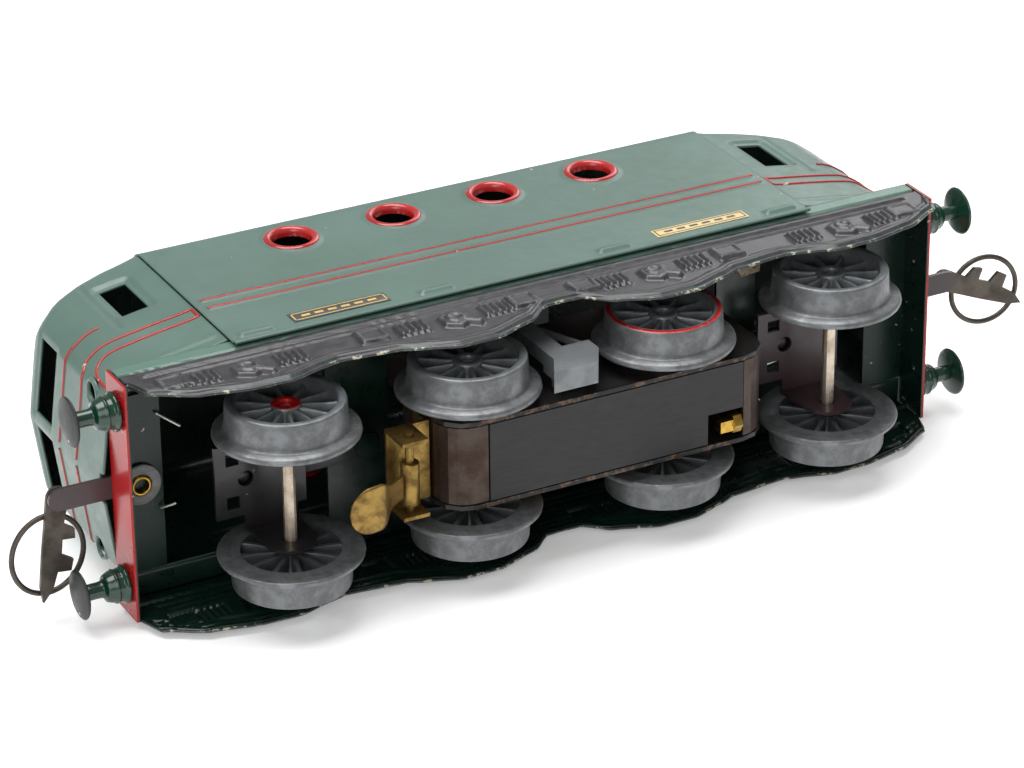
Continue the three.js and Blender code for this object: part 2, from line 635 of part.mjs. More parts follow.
function gears() {
  const [y0, y1] = GEAR_FACE_Y;
  const names = ['front_idler', 'rear_idler'];
  const radii = [FRONT_IDLER_R, REAR_IDLER_R];
  idlerCentres().forEach(([x, z], i) => {
    const toothed = prism('y', gearOutline(x, z, radii[i]), y0, y1);
    const stub = rod('y', x, z, SHAFT_R, PLATE_FACE_Y - PLATE_T - 0.4, y1, 10);
    add(names[i], toothed.add(stub), BRASS);
  });
  for (const [name, x] of [['front_axle_gear', -DRIVER_X], ['rear_axle_gear', DRIVER_X]]) {
    const bore = circle(x, AXLE_Z, AXLE_R + FACE_GAP, 12);
    add(name, prism('y', gearOutline(x, AXLE_Z, AXLE_GEAR_R), y0, y1, [bore]), BRASS);
  }
}

function brushPost() {
  const [x, y] = BRUSH_POST;
  const post = block(x - 1.6, x + 1.6, y - 1.3, y + 1.3, MOTOR_BOTTOM - 1, MOTOR_BOTTOM + 9);
  const nut = prism('x', circle(y, MOTOR_BOTTOM + 0.6, 2.3, 6), x + 1.6, x + 3.6);
  add('brush_holder', post.add(nut), BRASS);
}

// ---------------------------------------------------------------- collector
function collector() {
  const [px, pz] = SHOE_PIVOT;
  const ear = COLLECTOR_EAR_Y;
  const back = MOTOR_FRONT_X - FACE_GAP;
  const topZ = pz + 4.6;
  const top = block(px - 3, back, -ear, ear, topZ, topZ + SHEET_T);
  const foot = block(back - SHEET_T, back, -ear, ear, topZ, topZ + 6);
  const ears = [-1, 1].map((s) => block(px - 3, px + 3, Math.min(s * ear, s * (ear - SHEET_T)),
    Math.max(s * ear, s * (ear - SHEET_T)), pz - 3, topZ));
  const pin = rod('y', px, pz, SHOE_PIN_R, -ear - 1, ear + 1, 10);
  add('collector_bracket', union([top, foot, ...ears, pin]), BRASS);
  const path = SHOE_PATH.map(([x, z]) => [px + x * 1, pz + z]);
  const half = SHOE_W / 2;
  const arm = prism('y', strip([[px - 1.2, pz - 1], ...path], SHOE_T), -half, half);
  const [ex, ez] = path.at(-1);
  const round = rod('z', path[2][0] + (ex - path[2][0]) * 0.35, 0, half * 1.25, ez - CUT_PAST, pz + CUT_PAST, 20);
  const keep = block(px - 8, px + 4, -half * 0.7, half * 0.7, ez - CUT_PAST, pz + CUT_PAST).add(round);
  const hub = rod('y', px, pz, SHOE_HUB_R, -half * 0.7, half * 0.7, 14);
  const bore = rod('y', px, pz, SHOE_PIN_R + RUN_GAP, -half - 1, half + 1, 12);
  const mesh = add('collector_shoe', arm.intersect(keep).add(hub).subtract(bore), BRASS);
  mesh.position.y = SHOE_SHIFT_Y;
}

// ---------------------------------------------------------------- trucks, links and bridges
function truck(prefix, x) {
  const inner = TRUCK_ARM_Y - SHEET_T;
  const z0 = TRUCK_WEB_Z;
  const [w0, w1] = TRUCK_WEB_X;
  const web = block(x + w0, x + w1, -TRUCK_WEB_HALF_W, TRUCK_WEB_HALF_W, z0, z0 + SHEET_T);
  const cross = block(x - 6, x + 6, -TRUCK_ARM_Y, TRUCK_ARM_Y, z0, z0 + SHEET_T);
  const arms = [-1, 1].map((s) => {
    const outline = [[x - 6, z0 + SHEET_T]];
    for (let i = 0; i <= 6; i += 1) {
      const a = Math.PI + i * Math.PI / 6;
      outline.push([x + TRUCK_ARM_R * Math.cos(a), AXLE_Z + TRUCK_ARM_R * Math.sin(a)]);
    }
    outline.push([x + 6, z0 + SHEET_T]);
    const [y0, y1] = s < 0 ? [-TRUCK_ARM_Y, -inner] : [inner, TRUCK_ARM_Y];
    return prism('y', outline, y0, y1, [circle(x, AXLE_Z, AXLE_R + RUN_GAP, 14)]);
  });
  const hole = rod('z', x + LINK_PIN_OFFSET, 0, LINK_PIN_R + RUN_GAP, z0 - 1, z0 + 2, 14);
  const slots = [-1, 1].map((s) => block(x + w0 + 2.5, x + w0 + 5.5, s * 5 - 1.4, s * 5 + 1.4, z0 - 1, z0 + 2));
  add(`${prefix}_truck_frame`, union([web, cross, ...arms]).subtract(union([hole, ...slots])), BLACK);
}

function link(prefix, pivotX, axleX) {
  const tip = axleX + LINK_PIN_OFFSET;
  const half = LINK_W / 2;
  const z1 = LINK_Z + LINK_T;
  const bar = block(Math.min(pivotX, tip), Math.max(pivotX, tip), -half, half, LINK_Z, z1);
  const ends = [rod('z', pivotX, 0, half, LINK_Z, z1, 16), rod('z', tip, 0, half, LINK_Z, z1, 16)];
  const pin = rod('z', tip, 0, LINK_PIN_R, LINK_Z - LINK_PIN_L, z1, 12);
  const bore = rod('z', pivotX, 0, LINK_PIN_R + RUN_GAP, LINK_Z - 1, z1 + 1, 12);
  add(`${prefix}_truck_link`, union([bar, ...ends, pin]).subtract(bore), BRONZE);
}

function bridge(prefix, [x0, x1], pivotX) {
  const z1 = FLOOR_Z - SHEET_T - FACE_GAP;
  const half = SKIRT_FACE_Y - SKIRT_T - FACE_GAP;
  const plate = block(x0, x1, -half, half, z1 - BRIDGE_T, z1);
  const pin = rod('z', pivotX, 0, LINK_PIN_R, LINK_Z - 1.6, z1, 12);
  const head = rod('z', pivotX, 0, LINK_PIN_R + 1.2, LINK_Z - 1.6, LINK_Z - FACE_GAP, 12);
  add(`${prefix}_bridge`, union([plate, pin, head]), DARK_GREEN);
}

// ---------------------------------------------------------------- side casting and cork pad
function casting() {
  const [y0, y1] = CASTING_Y;
  const top = FLOOR_Z - SHEET_T - FACE_GAP;
  const foot = prism('y', [[-9.2, 4], [1.2, 4], [4.4, 9.6], [4.4, 14], [-6.4, 14], [-6.4, 9.4]], y0, y1);
  const lug = block(-5, 1, y1 - 0.5, -PLATE_FACE_Y - FACE_GAP, 9.6, 13);
  const post = block(-6.4, -2, y0, y1 - 1.6, 13, top);
  const rib = prism('y', [[4.4, 12.4], [4.4, 14.4], [-2.5, 30], [-2.5, 27]], y0 + 1, y0 + 2.2);
  const head = block(-6.4, 4.4, y0 - 4.6, y1 - 1.6, top - 1.2, top);
  add('side_casting', union([foot, lug, post, rib, head]), ZINC);
}

function corkPad() {
  const [x, y] = CORK;
  const z = FLOOR_Z - SHEET_T - FACE_GAP - BRIDGE_T - FACE_GAP;
  const pad = prismGeometry('z', [[-3.4, -1.9], [1.2, -2.4], [3.4, -1.2], [3.2, 1.8], [-1.4, 2.2]], -CORK_T, 0);
  const mesh = add('cork_pad', toManifold(pad), CORK_TAN);
  mesh.position.set(x, y, z);
}

// ---------------------------------------------------------------- pantographs
function pantograph(prefix, sign) {
  const x = sign * PANTO_X;
  const crown = SHOULDER_Z + SHOULDER_R + CROWN_RISE;
  const [lx, ly, h] = PANTO_BASE;
  const baseZ = crown + INSULATOR_H;
  const frame = block(x - lx / 2, x + lx / 2, -ly / 2, ly / 2, baseZ, baseZ + h);
  const opening = block(x - lx / 2 + 2, x + lx / 2 - 2, -ly / 2 + 2, ly / 2 - 2, baseZ - 1, baseZ + h + 1);
  const feet = [-1, 1].flatMap((a) => [-1, 1].map((b) => rod('z', x + a * (lx / 2 - 1.5), b * (ly / 2 - 1.5), 1.2,
    roofHeight(ly / 2 - 0.3) + FACE_GAP, baseZ + 0.2, 8)));
  const armZ = baseZ + h + FACE_GAP + PANTO_TUBE_R;
  add(`${prefix}_panto_base`, frame.subtract(opening).add(union(feet)), RED);
  const hinge = sign * (PANTO_X + lx / 2 - 2);
  const knee = hinge - sign * (PANTO_ARM_L - 3);
  const bars = (half, z, from, to) => [-1, 1].map((s) => block(Math.min(from, to), Math.max(from, to),
    s * half - PANTO_TUBE_R, s * half + PANTO_TUBE_R, z - PANTO_TUBE_R, z + PANTO_TUBE_R));
  const bar = (half, z, at) => rod('y', at, z, PANTO_TUBE_R, -half - PANTO_TUBE_R, half + PANTO_TUBE_R, 8);
  const inner = PANTO_HALF_W - 2 * PANTO_TUBE_R - FACE_GAP;
  const upperZ = armZ + 2 * PANTO_TUBE_R + FACE_GAP;
  add(`${prefix}_panto_lower`, union([...bars(PANTO_HALF_W, armZ, hinge, knee), bar(PANTO_HALF_W, armZ, hinge),
    bar(PANTO_HALF_W, armZ, knee)]), STEEL);
  const bowZ = upperZ + 2 * PANTO_TUBE_R + FACE_GAP;
  const bow = block(hinge - 1.6, hinge + 1.6, -PANTO_HALF_W - 4, PANTO_HALF_W + 4, upperZ - PANTO_TUBE_R, bowZ);
  add(`${prefix}_panto_upper`, union([...bars(inner, upperZ, hinge, knee), bar(inner, upperZ, knee), bow]), STEEL);
}

function roofHeight(y) {
  const half = bodySection(0, BODY_BOTTOM).slice(0, 10).filter(([v]) => v >= 0);
  for (let i = 1; i < half.length; i += 1) {
    const [y0, z0] = half[i - 1];
    const [y1, z1] = half[i];
    if (y <= y0 && y >= y1 && y0 !== y1) {
      return z0 + (z1 - z0) * (y0 - y) / (y0 - y1);
    }
  }
  return SHOULDER_Z + SHOULDER_R + CROWN_RISE;
}

// ---------------------------------------------------------------- the locomotive
bodyShell();
cab('front_cab', -1);
cab('rear_cab', 1);
skirt('left_skirt', -1);
skirt('right_skirt', 1);
headstock('front_headstock', -1);
headstock('rear_headstock', 1);
for (const [end, endName, look] of [[-1, 'front', BLACK], [1, 'rear', DARK_GREEN]]) {
  buffer(`${endName}_left_buffer`, end, -1, look);
  buffer(`${endName}_right_buffer`, end, 1, look);
}
drawbar('front_drawbar', -1);
drawbar('rear_drawbar', 1);
coupling('front', -1, COUPLING_YAW[0]);
coupling('rear', 1, COUPLING_YAW[1]);
eyelet();
wheelset('front_driver', -DRIVER_X);
wheelset('rear_driver', DRIVER_X);
wheelset('front_pony', -PONY_X);
wheelset('rear_pony', PONY_X);
motorPlate('motor_left_plate', -1);
motorPlate('motor_right_plate', 1);
spacer('motor_front_spacer', MOTOR_FRONT_X, 1);
spacer('motor_rear_spacer', MOTOR_REAR_X, -1);
bottomCover();
fieldAndCoil();
armature();
gears();
brushPost();
collector();
truck('front', -PONY_X);
truck('rear', PONY_X);
link('front', LINK_PIVOT_X[0], -PONY_X);
link('rear', LINK_PIVOT_X[1], PONY_X);
bridge('front', BRIDGE_X[0], LINK_PIVOT_X[0]);
bridge('rear', BRIDGE_X[1], LINK_PIVOT_X[1]);
casting();
corkPad();
pantograph('front', -1);
pantograph('rear', 1);

// The couplings hang unevenly, so the model is slid along X until its overall box is centred on the origin.
const group = new THREE.Group();
group.add(model);
group.updateMatrixWorld(true);
const extent = new THREE.Box3().setFromObject(group, true);
model.position.x = -(extent.min.x + extent.max.x) / 2;

export default group;
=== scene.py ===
# %% [markdown]
# # A tinplate electric locomotive, lying on its side
# The loco is pressed from thin sheet metal and enamelled, and it runs on cast wheels. This notebook
# puts its looks on a fixed frame of solids. The frame gives every size and place, so each piece is
# made where the frame says. A cell like this one tells what the next piece is and how it is made.

# %% Load the frame and keep its box
import bpy
import bmesh
import math
from mathutils import Matrix, Vector


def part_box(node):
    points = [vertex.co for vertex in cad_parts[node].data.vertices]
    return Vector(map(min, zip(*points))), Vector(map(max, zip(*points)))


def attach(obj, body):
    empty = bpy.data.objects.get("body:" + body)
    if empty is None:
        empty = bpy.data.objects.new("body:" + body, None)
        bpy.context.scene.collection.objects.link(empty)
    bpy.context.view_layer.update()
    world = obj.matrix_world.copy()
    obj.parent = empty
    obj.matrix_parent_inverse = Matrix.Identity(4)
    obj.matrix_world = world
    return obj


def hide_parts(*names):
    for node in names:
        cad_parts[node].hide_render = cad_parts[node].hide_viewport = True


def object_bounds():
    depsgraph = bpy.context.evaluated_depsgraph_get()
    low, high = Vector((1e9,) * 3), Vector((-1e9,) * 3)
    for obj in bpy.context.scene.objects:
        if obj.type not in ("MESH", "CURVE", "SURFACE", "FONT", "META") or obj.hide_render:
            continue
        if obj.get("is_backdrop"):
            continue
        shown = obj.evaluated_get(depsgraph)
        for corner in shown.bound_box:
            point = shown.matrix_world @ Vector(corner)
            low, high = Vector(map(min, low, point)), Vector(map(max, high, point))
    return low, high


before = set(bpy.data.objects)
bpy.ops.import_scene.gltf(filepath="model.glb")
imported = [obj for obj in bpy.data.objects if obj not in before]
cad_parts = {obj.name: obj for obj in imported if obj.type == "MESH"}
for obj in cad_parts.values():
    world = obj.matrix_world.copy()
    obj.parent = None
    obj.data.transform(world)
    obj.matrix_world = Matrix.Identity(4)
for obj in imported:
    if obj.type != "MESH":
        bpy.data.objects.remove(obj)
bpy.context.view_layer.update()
MM = 0.001
shell_low, shell_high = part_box("body_shell")
MIDDLE = (shell_low.x + shell_high.x) / 2

# %% [markdown]
# ## Places and small helpers
# All the sizes below are in millimetres from the middle of the wheelbase, because a model maker
# reads them that way. `at` turns such a place into a point of the frame in metres. Each mesh piece
# goes through one helper, which gives it its finishes, smooth shading and the body it rides on.

# %% From millimetres to the frame
def at(x, y, z):
    return Vector((MIDDLE + x * MM, y * MM, z * MM))


def low_high(node):
    low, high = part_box(node)
    return [[(corner[0] - MIDDLE) / MM, corner[1] / MM, corner[2] / MM] for corner in (low, high)]


def hand(side):
    return "left" if side < 0 else "right"


def ease(value, low, high):
    t = min(max((value - low) / (high - low), 0.0), 1.0)
    return t * t * (3 - 2 * t)


print("the middle of the body is at x =", round(MIDDLE, 5))

# %% Mesh pieces
def seat(piece, body, slot, *stands_for):
    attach(piece, body)
    if stands_for:
        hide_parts(*stands_for)
    return piece


def mesh_piece(name, points, faces, finishes, smooth=True):
    mesh = bpy.data.meshes.new(name)
    mesh.from_pydata([tuple(p) for p in points], [], faces)
    mesh.validate()
    for finish in finishes:
        mesh.materials.append(finish)
    piece = bpy.data.objects.new(name, mesh)
    bpy.context.scene.collection.objects.link(piece)
    if smooth:
        mesh.shade_smooth()
    return piece


def outward(piece):
    work = bmesh.new()
    work.from_mesh(piece.data)
    bmesh.ops.recalc_face_normals(work, faces=work.faces)
    work.to_mesh(piece.data)
    work.free()
    return piece


def apply_modifiers(piece):
    shown = bpy.context.evaluated_depsgraph_get()
    mesh = bpy.data.meshes.new_from_object(piece.evaluated_get(shown))
    piece.modifiers.clear()
    piece.data = mesh
    return piece


def rounded(piece, width, segments=2):
    bevel = piece.modifiers.new("edge", "BEVEL")
    bevel.width = width * MM
    bevel.segments = segments
    bevel.limit_method = "ANGLE"
    bevel.harden_normals = False
    return piece


print("helpers for mesh pieces are ready")

# %% Turned, cut-out and bent pieces
AXES = {"x": Matrix(((0, 0, 1), (1, 0, 0), (0, 1, 0))), "y": Matrix(((1, 0, 0), (0, 0, 1), (0, 1, 0))),
        "z": Matrix.Identity(3)}


def turned(name, profile, centre, axis, finish, segments=96):
    points, faces = [], []
    for radius, height in profile:
        for k in range(segments):
            a = 2 * math.pi * k / segments
            points.append(AXES[axis] @ Vector((radius * math.cos(a), radius * math.sin(a), height)) * MM)
    for i in range(len(profile) - 1):
        for k in range(segments):
            n = (k + 1) % segments
            row, above = i * segments, (i + 1) * segments
            faces.append((row + k, row + n, above + n, above + k))
    piece = mesh_piece(name, points, faces, [finish])
    piece.location = centre
    work = bmesh.new()
    work.from_mesh(piece.data)
    bmesh.ops.remove_doubles(work, verts=work.verts, dist=0.002 * MM)
    bmesh.ops.recalc_face_normals(work, faces=work.faces)
    work.to_mesh(piece.data)
    work.free()
    return piece


def cut_out(name, outline, low, high, axis, finish, bevel=0.15):
    count = len(outline)
    start = Vector((MIDDLE, 0, 0))
    points = [AXES[axis] @ Vector((u, v, h)) * MM + start for h in (low, high) for u, v in outline]
    faces = [tuple(range(count)), tuple(reversed(range(count, 2 * count)))]
    for k in range(count):
        n = (k + 1) % count
        faces.append((k, k + count, n + count, n))
    piece = outward(mesh_piece(name, points, faces, [finish], smooth=False))
    rounded(piece, bevel)
    apply_modifiers(piece)
    piece.data.shade_smooth()
    piece.data.set_sharp_from_angle(angle=0.7)
    return piece


def bent_wire(name, path, radius, finish, closed=False):
    curve = bpy.data.curves.new(name, "CURVE")
    curve.dimensions = "3D"
    curve.bevel_depth = radius * MM
    curve.bevel_resolution = 4
    curve.resolution_u = 8
    curve.use_fill_caps = True
    spline = curve.splines.new("NURBS")
    spline.points.add(len(path) - 1)
    for point, place in zip(spline.points, path):
        point.co = (*place, 1)
    spline.order_u = 3
    spline.use_endpoint_u = not closed
    spline.use_cyclic_u = closed
    curve.materials.append(finish)
    piece = bpy.data.objects.new(name, curve)
    bpy.context.scene.collection.objects.link(piece)
    return piece


print("helpers for turned, cut-out and bent pieces are ready")

# %% [markdown]
# ## Writing shader maths as Python
# A finish is a small web of nodes. Writing it as Python keeps it readable: `Value` wraps a socket,
# so `1 - mask` or `wear * 0.4` adds the Math node for us. `Web.add` makes any other node from its
# type, its settings and what goes into its sockets.

# %% Sockets with operators
class Value:
    def __init__(self, web, socket):
        self.web, self.socket = web, socket

    def math(self, operation, *others, turned_round=False):
        values = [self, *others]
        if turned_round:
            values.reverse()
        return self.web.add("ShaderNodeMath", {"operation": operation}, dict(enumerate(values)))

    def __add__(self, other):
        return self.math("ADD", other)

    def __sub__(self, other):
        return self.math("SUBTRACT", other)

    def __rsub__(self, other):
        return self.math("SUBTRACT", other, turned_round=True)

    def __mul__(self, other):
        return self.math("MULTIPLY", other)

    def __truediv__(self, other):
        return self.math("DIVIDE", other)

    __radd__ = __add__
    __rmul__ = __mul__

    def clipped(self):
        return self.math("MINIMUM", 1.0).math("MAXIMUM", 0.0)

    def over(self, low, high):
        return self.web.add("ShaderNodeMapRange", {"interpolation_type": "SMOOTHSTEP"},
                            {"Value": self, "From Min": low, "From Max": high})


class Web:
    def __init__(self, name):
        self.material = bpy.data.materials.new(name)
        self.material.use_nodes = True
        self.tree = self.material.node_tree
        self.shader = self.tree.nodes["Principled BSDF"]
        self.output = self.tree.nodes["Material Output"]

    def add(self, kind, settings, sockets, out=0):
        node = self.tree.nodes.new(kind)
        for key, value in settings.items():
            setattr(node, key, value)
        for key, value in sockets.items():
            self.feed(node.inputs[key], value)
        return Value(self, node.outputs[out])

    def feed(self, socket, value):
        if isinstance(value, Value):
            self.tree.links.new(value.socket, socket)
        elif isinstance(value, (int, float)) or len(value) == len(socket.default_value):
            socket.default_value = value
        else:
            socket.default_value = (*value, 1)

    def place(self):
        return self.add("ShaderNodeTexCoord", {}, {}, "Object")

    def parts(self, vector):
        split = self.add("ShaderNodeSeparateXYZ", {}, {0: vector})
        return [Value(self, out) for out in split.socket.node.outputs]

    def cloud(self, size, detail=3.0, rough=0.55, vector=None):
        sockets = {"Vector": vector or self.place(), "Scale": 1 / (size * MM)}
        return self.add("ShaderNodeTexNoise", {}, {**sockets, "Detail": detail, "Roughness": rough})

    def mix(self, mask, first, second):
        return self.add("ShaderNodeMix", {"data_type": "RGBA"}, {0: mask, 6: first, 7: second}, 2)

    def finish(self, colour, rough, metal=0.0, coat=0.0, bump=None, depth=0.1, strength=0.5, specular=0.5):
        self.feed(self.shader.inputs["Base Color"], colour)
        self.feed(self.shader.inputs["Roughness"], rough)
        self.feed(self.shader.inputs["Metallic"], metal)
        self.feed(self.shader.inputs["Coat Weight"], coat)
        self.shader.inputs["Coat Roughness"].default_value = 0.12
        self.shader.inputs["Specular IOR Level"].default_value = specular
        if bump is not None:
            sockets = {"Strength": strength, "Distance": depth * MM, "Height": bump}
            raised = self.add("ShaderNodeBump", {}, sockets)
            self.feed(self.shader.inputs["Normal"], raised)
        return self.material


def srgb(r, g, b):
    return tuple((c / 255 / 12.92) if c <= 10 else ((c / 255 + 0.055) / 1.055) ** 2.4 for c in (r, g, b))


print("celadon green as light:", [round(c, 3) for c in srgb(96, 132, 118)])

# %% [markdown]
# ## Enamels
# The body wears a soft celadon green enamel, baked on tinplate. Up close such paint is never even:
# it has a fine ripple, a slow drift of tone from handling, a few dark rubs and tiny chips down to
# bright tin. Noise at three sizes gives those, and a thresholded noise gives the chips.

# %% Enamel finishes
def enamel(name, main, drift, rough=0.34, chips=0.0, coat=0.25, tin=(0.55, 0.54, 0.5), grime=0.25):
    web = Web(name)
    slow = web.cloud(38, 4).over(0.35, 0.68)
    rubs = web.cloud(9, 6, 0.7).over(0.62, 0.8) * grime
    colour = web.mix(slow, main, drift)
    colour = web.mix(rubs, colour, tuple(c * 0.35 for c in main))
    specks = web.cloud(2.2, 2, 0.5).over(0.79 - chips, 0.8 - chips) if chips else None
    if specks is not None:
        colour = web.mix(specks, colour, tin)
    ripple = web.cloud(0.9, 2) * 0.3 + web.cloud(5, 2)
    roughness = web.cloud(4, 4).over(0.3, 0.7) * 0.14 + (rough - 0.05)
    return web.finish(colour, roughness, coat=coat, bump=ripple, depth=0.05, strength=0.35)


green_enamel = enamel("green_enamel", srgb(80, 104, 95), srgb(87, 112, 103), 0.4, chips=0.01, coat=0.15)
inside_enamel = enamel("inside_enamel", srgb(6, 27, 20), srgb(10, 36, 27), 0.3, coat=0.12)
buffer_green = enamel("buffer_green", srgb(5, 42, 29), srgb(9, 53, 37), 0.2, coat=0.35, chips=0.02)
buffer_black = enamel("buffer_black", srgb(24, 26, 27), srgb(36, 38, 39), 0.46, chips=0.02, coat=0.0)
line_red = enamel("line_red", srgb(140, 34, 33), srgb(164, 44, 42),
                  0.3, chips=0.08, coat=0.3, tin=srgb(190, 180, 170))
stock_red = enamel("stock_red", srgb(160, 18, 22), srgb(176, 26, 28), 0.2, chips=0.02, coat=0.5)
rim_red = enamel("rim_red", srgb(150, 26, 26), srgb(176, 36, 34), 0.2, chips=0.03, coat=0.5)
truck_black = enamel("truck_black", srgb(22, 21, 23), srgb(34, 31, 33),
                     0.32, chips=0.03, coat=0.2, tin=srgb(120, 100, 84))
web_plum = enamel("web_plum", srgb(46, 33, 36), srgb(62, 46, 48),
                  0.34, chips=0.05, coat=0.1, tin=srgb(120, 96, 80))
print("enamels:", len(bpy.data.materials))

# %% [markdown]
# The skirts are dipped in satin black over green. Years of handling have rubbed the raised work and
# the lower edge, where the green and the bare tin show. The mesh carries two numbers at each point:
# `edge`, how close it is to the lower edge, and `height`, how far it is pressed out.

# %% Skirt finish
def worn_black(name):
    web = Web(name)
    height = web.add("ShaderNodeAttribute", {"attribute_name": "height"}, {}, "Fac")
    edge = web.add("ShaderNodeAttribute", {"attribute_name": "edge"}, {}, "Fac")
    _, _, z = web.parts(web.place())
    colour = web.mix(web.cloud(3, 5).over(0.35, 0.7), srgb(40, 40, 43), srgb(55, 54, 58))
    rub = (height.over(0.55, 1.0) * web.cloud(1.6, 4, 0.7).over(0.46, 0.62)) * 0.55
    colour = web.mix(rub, colour, srgb(96, 95, 98))
    patches = web.cloud(2.6, 5, 0.75)
    colour = web.mix(edge.over(0.45, 0.95) * patches.over(0.5, 0.56), colour, srgb(46, 82, 66))
    colour = web.mix(edge.over(0.7, 0.98) * patches.over(0.565, 0.585), colour, srgb(188, 176, 158))
    rim = z.over(30.25 * MM, 30.35 * MM)
    colour = web.mix(rim, colour, srgb(84, 114, 102))
    ripple = web.cloud(0.7, 3) * 0.4 + web.cloud(3, 3)
    rough = web.cloud(3, 4).over(0.3, 0.7) * 0.16 + 0.3
    return web.finish(colour, rough, coat=0.25, bump=ripple, depth=0.09, strength=0.5)


skirt_black = worn_black("skirt_black")
print("skirt finish ready")

# %% [markdown]
# ## Bare metals, fibre and cork
# The wheels are cast in zinc alloy, dull and mottled. The couplings are chemically browned, the
# collector is old brass, and the axles are plated. Each has a broad mottle, a fine grain in the
# bump and darker stains, and only the amounts differ.

# %% Metal finishes
def metal(name, main, stain, rough, metallic=1.0, stain_size=4.0, grain=0.5, depth=0.04, amount=0.8):
    web = Web(name)
    mottle = web.cloud(stain_size, 6, 0.65).over(0.36, 0.66)
    fine = web.cloud(0.6, 4, 0.6)
    colour = web.mix(mottle * amount, main, stain)
    colour = web.mix(fine.over(0.5, 0.75) * 0.3, colour, tuple(min(1, c * 1.5) for c in main))
    roughness = mottle * 0.2 + rough + fine * 0.08
    relief = fine * grain + mottle * 0.5
    return web.finish(colour, roughness, metallic, bump=relief, depth=depth, strength=0.6)


cast_zinc = metal("cast_zinc", srgb(122, 126, 128), srgb(98, 101, 104), 0.36, 0.5, 6,
                  depth=0.08, amount=0.6)
axle_steel = metal("axle_steel", srgb(196, 184, 168), srgb(150, 134, 116), 0.24, 0.9, 5)
browned_steel = metal("browned_steel", srgb(84, 78, 71), srgb(56, 50, 45), 0.34, 0.8, 5, amount=0.6)
old_brass = metal("old_brass", srgb(150, 122, 66), srgb(84, 64, 34), 0.28, 0.9, 3.5, depth=0.08)
bright_brass = metal("bright_brass", srgb(190, 156, 74), srgb(132, 98, 44), 0.18, 1.0, 3)
winding_copper = metal("winding_copper", srgb(160, 92, 54), srgb(96, 52, 30), 0.34, 0.8, 2)
spacer_brown = metal("spacer_brown", srgb(70, 60, 54), srgb(56, 36, 28), 0.3, 0.7, 6, amount=0.8)
tin_bright = metal("tin_bright", srgb(190, 188, 182), srgb(140, 136, 128), 0.25, 0.9, 2)


def motor_finish(name):
    web = Web(name)
    _, _, z = web.parts(web.place())
    low = low_high("motor_left_plate")[0][2]
    rub = web.cloud(2.4, 5, 0.7)
    near = 1 - z.over((low + 0.1) * MM, (low + 0.9) * MM)
    colour = web.mix(web.cloud(6, 4).over(0.3, 0.7), srgb(24, 23, 24), srgb(34, 32, 32))
    colour = web.mix(near * rub.over(0.5, 0.62) * 0.7, colour, srgb(110, 84, 64))
    rough = rub * 0.2 + 0.28
    return web.finish(colour, rough, near * 0.5, bump=web.cloud(0.8, 3), depth=0.04, strength=0.4)


motor_black = motor_finish("motor_black")
print("metals ready")

# %% Fibre and cork
def fibre(name, main, second, rough=0.62):
    web = Web(name)
    x, y, z = web.parts(web.place())
    long_way = web.add("ShaderNodeCombineXYZ", {}, {0: x * 0.15, 1: y, 2: z})
    strands = web.cloud(0.7, 4, 0.6, long_way)
    colour = web.mix(strands.over(0.35, 0.7), main, second)
    roughness = web.cloud(3, 3) * 0.15 + (rough - 0.1)
    return web.finish(colour, roughness, bump=strands, depth=0.03, strength=0.5)


CORK_CELL = 0.9


def cork_finish(name):
    web = Web(name)
    cells = web.add("ShaderNodeTexVoronoi", {}, {"Vector": web.place(), "Scale": 1 / (CORK_CELL * MM)},
                    "Distance")
    flecks = web.cloud(1.3, 5, 0.7)
    colour = web.mix(flecks.over(0.45, 0.6), srgb(202, 188, 162), srgb(150, 126, 96))
    colour = web.mix(flecks.over(0.62, 0.66), colour, srgb(92, 70, 50))
    return web.finish(colour, 0.85 - cells * 0.1, bump=cells + flecks, depth=0.3, strength=0.8)


cover_fibre = fibre("cover_fibre", srgb(25, 25, 27), srgb(32, 32, 34))
washer_fibre = fibre("washer_fibre", srgb(104, 104, 104), srgb(126, 126, 124), 0.7)
cut_cork = cork_finish("cut_cork")
cream_plate = enamel("cream_plate", srgb(206, 182, 128), srgb(216, 194, 142), 0.45, coat=0.05, grime=0.15)
dark_plate = enamel("dark_plate", srgb(64, 62, 60), srgb(76, 72, 68), 0.45, coat=0.05)
gilt = enamel("gilt", srgb(196, 166, 100), srgb(208, 180, 116), 0.4, coat=0.1, grime=0.1)
print("materials:", len(bpy.data.materials))

# %% [markdown]
# ## The body panel
# One sheet is folded over the roof, with a rolled bead along its foot, two pressed ridges for the
# lining, four small pressed tabs and four portholes. It is made as a fine grid over the section, and
# each pressed shape is a small push along the surface. Modelling the sheet and giving it thickness
# keeps the edges thin, as they are on tinplate.

# %% Section of the body
TAB_OUT = 0.9
CROWN_RISE = 3.0
HALF = shell_high.y / MM - TAB_OUT
FOOT = shell_low.z / MM
CROWN = shell_high.z / MM
SHOULDER_R = 5.0
SEAM = (shell_high.x - shell_low.x) / 2 / MM
LINES = (48.6, 52.6)
PORTHOLE_Z, PORTHOLE_R, RIM_R = 72.0, 4.3, 6.2
PORTHOLE_X = [(i - 1.5) * 24.6 for i in range(4)]
TABS = (-63, -21.4, 21.4, 63)


def wall_and_roof(half, crown, radius, foot, heights, roof_steps=26):
    rise = radius + CROWN_RISE * (half / HALF) ** 2
    shoulder = crown - rise
    outline = [(half, foot + (shoulder - foot) * h) for h in heights]
    turn = math.pi * 0.43
    angles = [turn * i / 10 for i in range(1, 11)]
    outline += [(half - radius + radius * math.cos(a), shoulder + radius * math.sin(a)) for a in angles]
    edge_y, edge_z = outline[-1]
    outline += [(edge_y * (1 - i / roof_steps), edge_z + (crown - edge_z) * (1 - (1 - i / roof_steps) ** 2))
                for i in range(1, roof_steps + 1)]
    return outline


